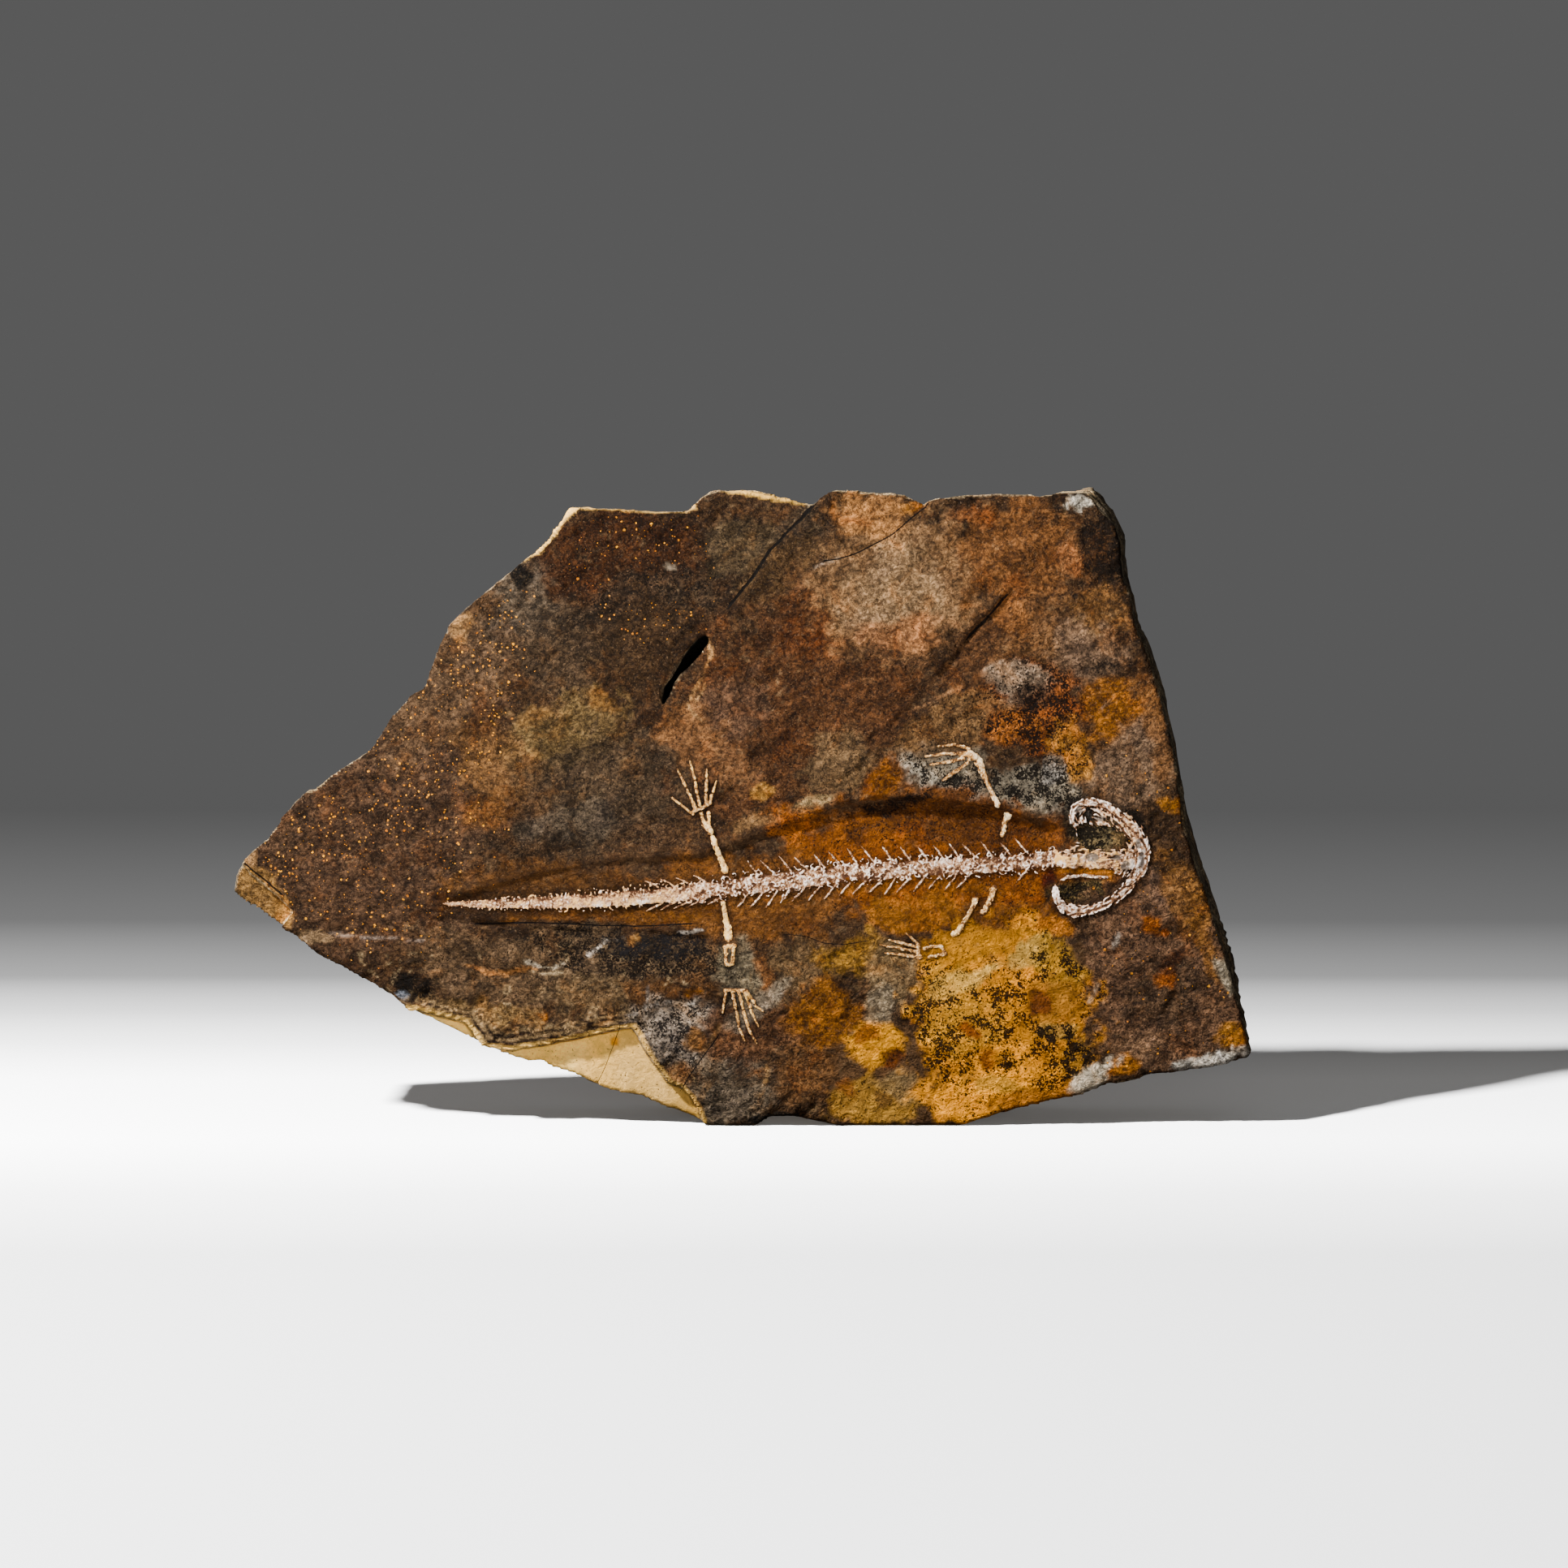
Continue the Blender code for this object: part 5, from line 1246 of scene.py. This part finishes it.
def camera():
    pitch = math.radians(cameraLook["down"])
    away = cameraLook["away"]
    data = bpy.data.cameras.new("camera")
    data.lens = cameraLook["lens"]
    data.sensor_width = 36
    data.clip_end = 30
    made = linked("camera", data)
    made.location = (shiftX + cameraLook["right"] * mm, frontY - away * math.cos(pitch),
                     cameraLook["up"] * mm + away * math.sin(pitch))
    made.rotation_euler = (math.pi / 2 - pitch, 0, 0)
    bpy.context.scene.camera = made


def lights(paper, pieces):
    # one small key from the upper left, which lights the paper harder than the slab, and soft weak fills
    middle = (0, frontY, 0.08)
    keyPlace = (-0.68, -0.42 + frontY, 0.97)
    bounceX, bounceY = -0.05, frontY - 0.26
    lamp("key", keyPlace, middle, 0.09, 57)
    lamp("paperKey", keyPlace, middle, 0.09, 147, [paper])
    lamp("lowFill", (0.3, -2.4, 0.35), middle, 1.2, 10)
    lamp("backFill", (-0.9, 2.4, 0.7), middle, 1.6, 50, pieces)
    lamp("floorBounce", (bounceX, bounceY, 0.003), (bounceX, bounceY, 1), 0.4, 2.6, pieces)
    world = bpy.data.worlds.new("studio")
    bpy.context.scene.world = world
    world.use_nodes = True
    setInputs(world.node_tree.nodes["Background"], [(1.0, 0.98, 0.95, 1), 0.13])


paper = sweep()
camera()
print("stage and camera are set")

slabSkin = slabPiece()
pieces = [finished(slabSkin, "matrixSlab", stoneMaterial(), "shale", "matrix_slab")]
bpy.context.view_layer.update()
stoneTree = BVHTree.FromPolygons([v.co for v in slabSkin.vertices], [p.vertices for p in slabSkin.polygons])

whiteBone = boneMaterial("chalkyBone", "#fff0e6", "#b08058", "#46260f", "#f0b45c")
creamBone = boneMaterial("ivoryBone", "#fde4ba", "#bc8440", "#4c2a0e", "#fcc868")
for name, node, lumps, look in (("vertebralColumn", "vertebral_column", spineLumps(), spineLook),
                                ("skullBones", "skull", skullLumps(), skullLook)):
    pieces.append(bonePiece(name, node, lumps, look, whiteBone, "white_bone"))
for node, (rise, strokes) in limbStrokes.items():
    words = node.split("_")
    name = words[0] + "".join(word.capitalize() for word in words[1:])
    dice = np.random.default_rng(len(name))
    lumps = [shaft(line, rise, dice) for line in strokes]
    pieces.append(bonePiece(name, node, lumps, limbLook, creamBone, "cream_bone"))
lights(paper, pieces)
print("bones and lights are in place")
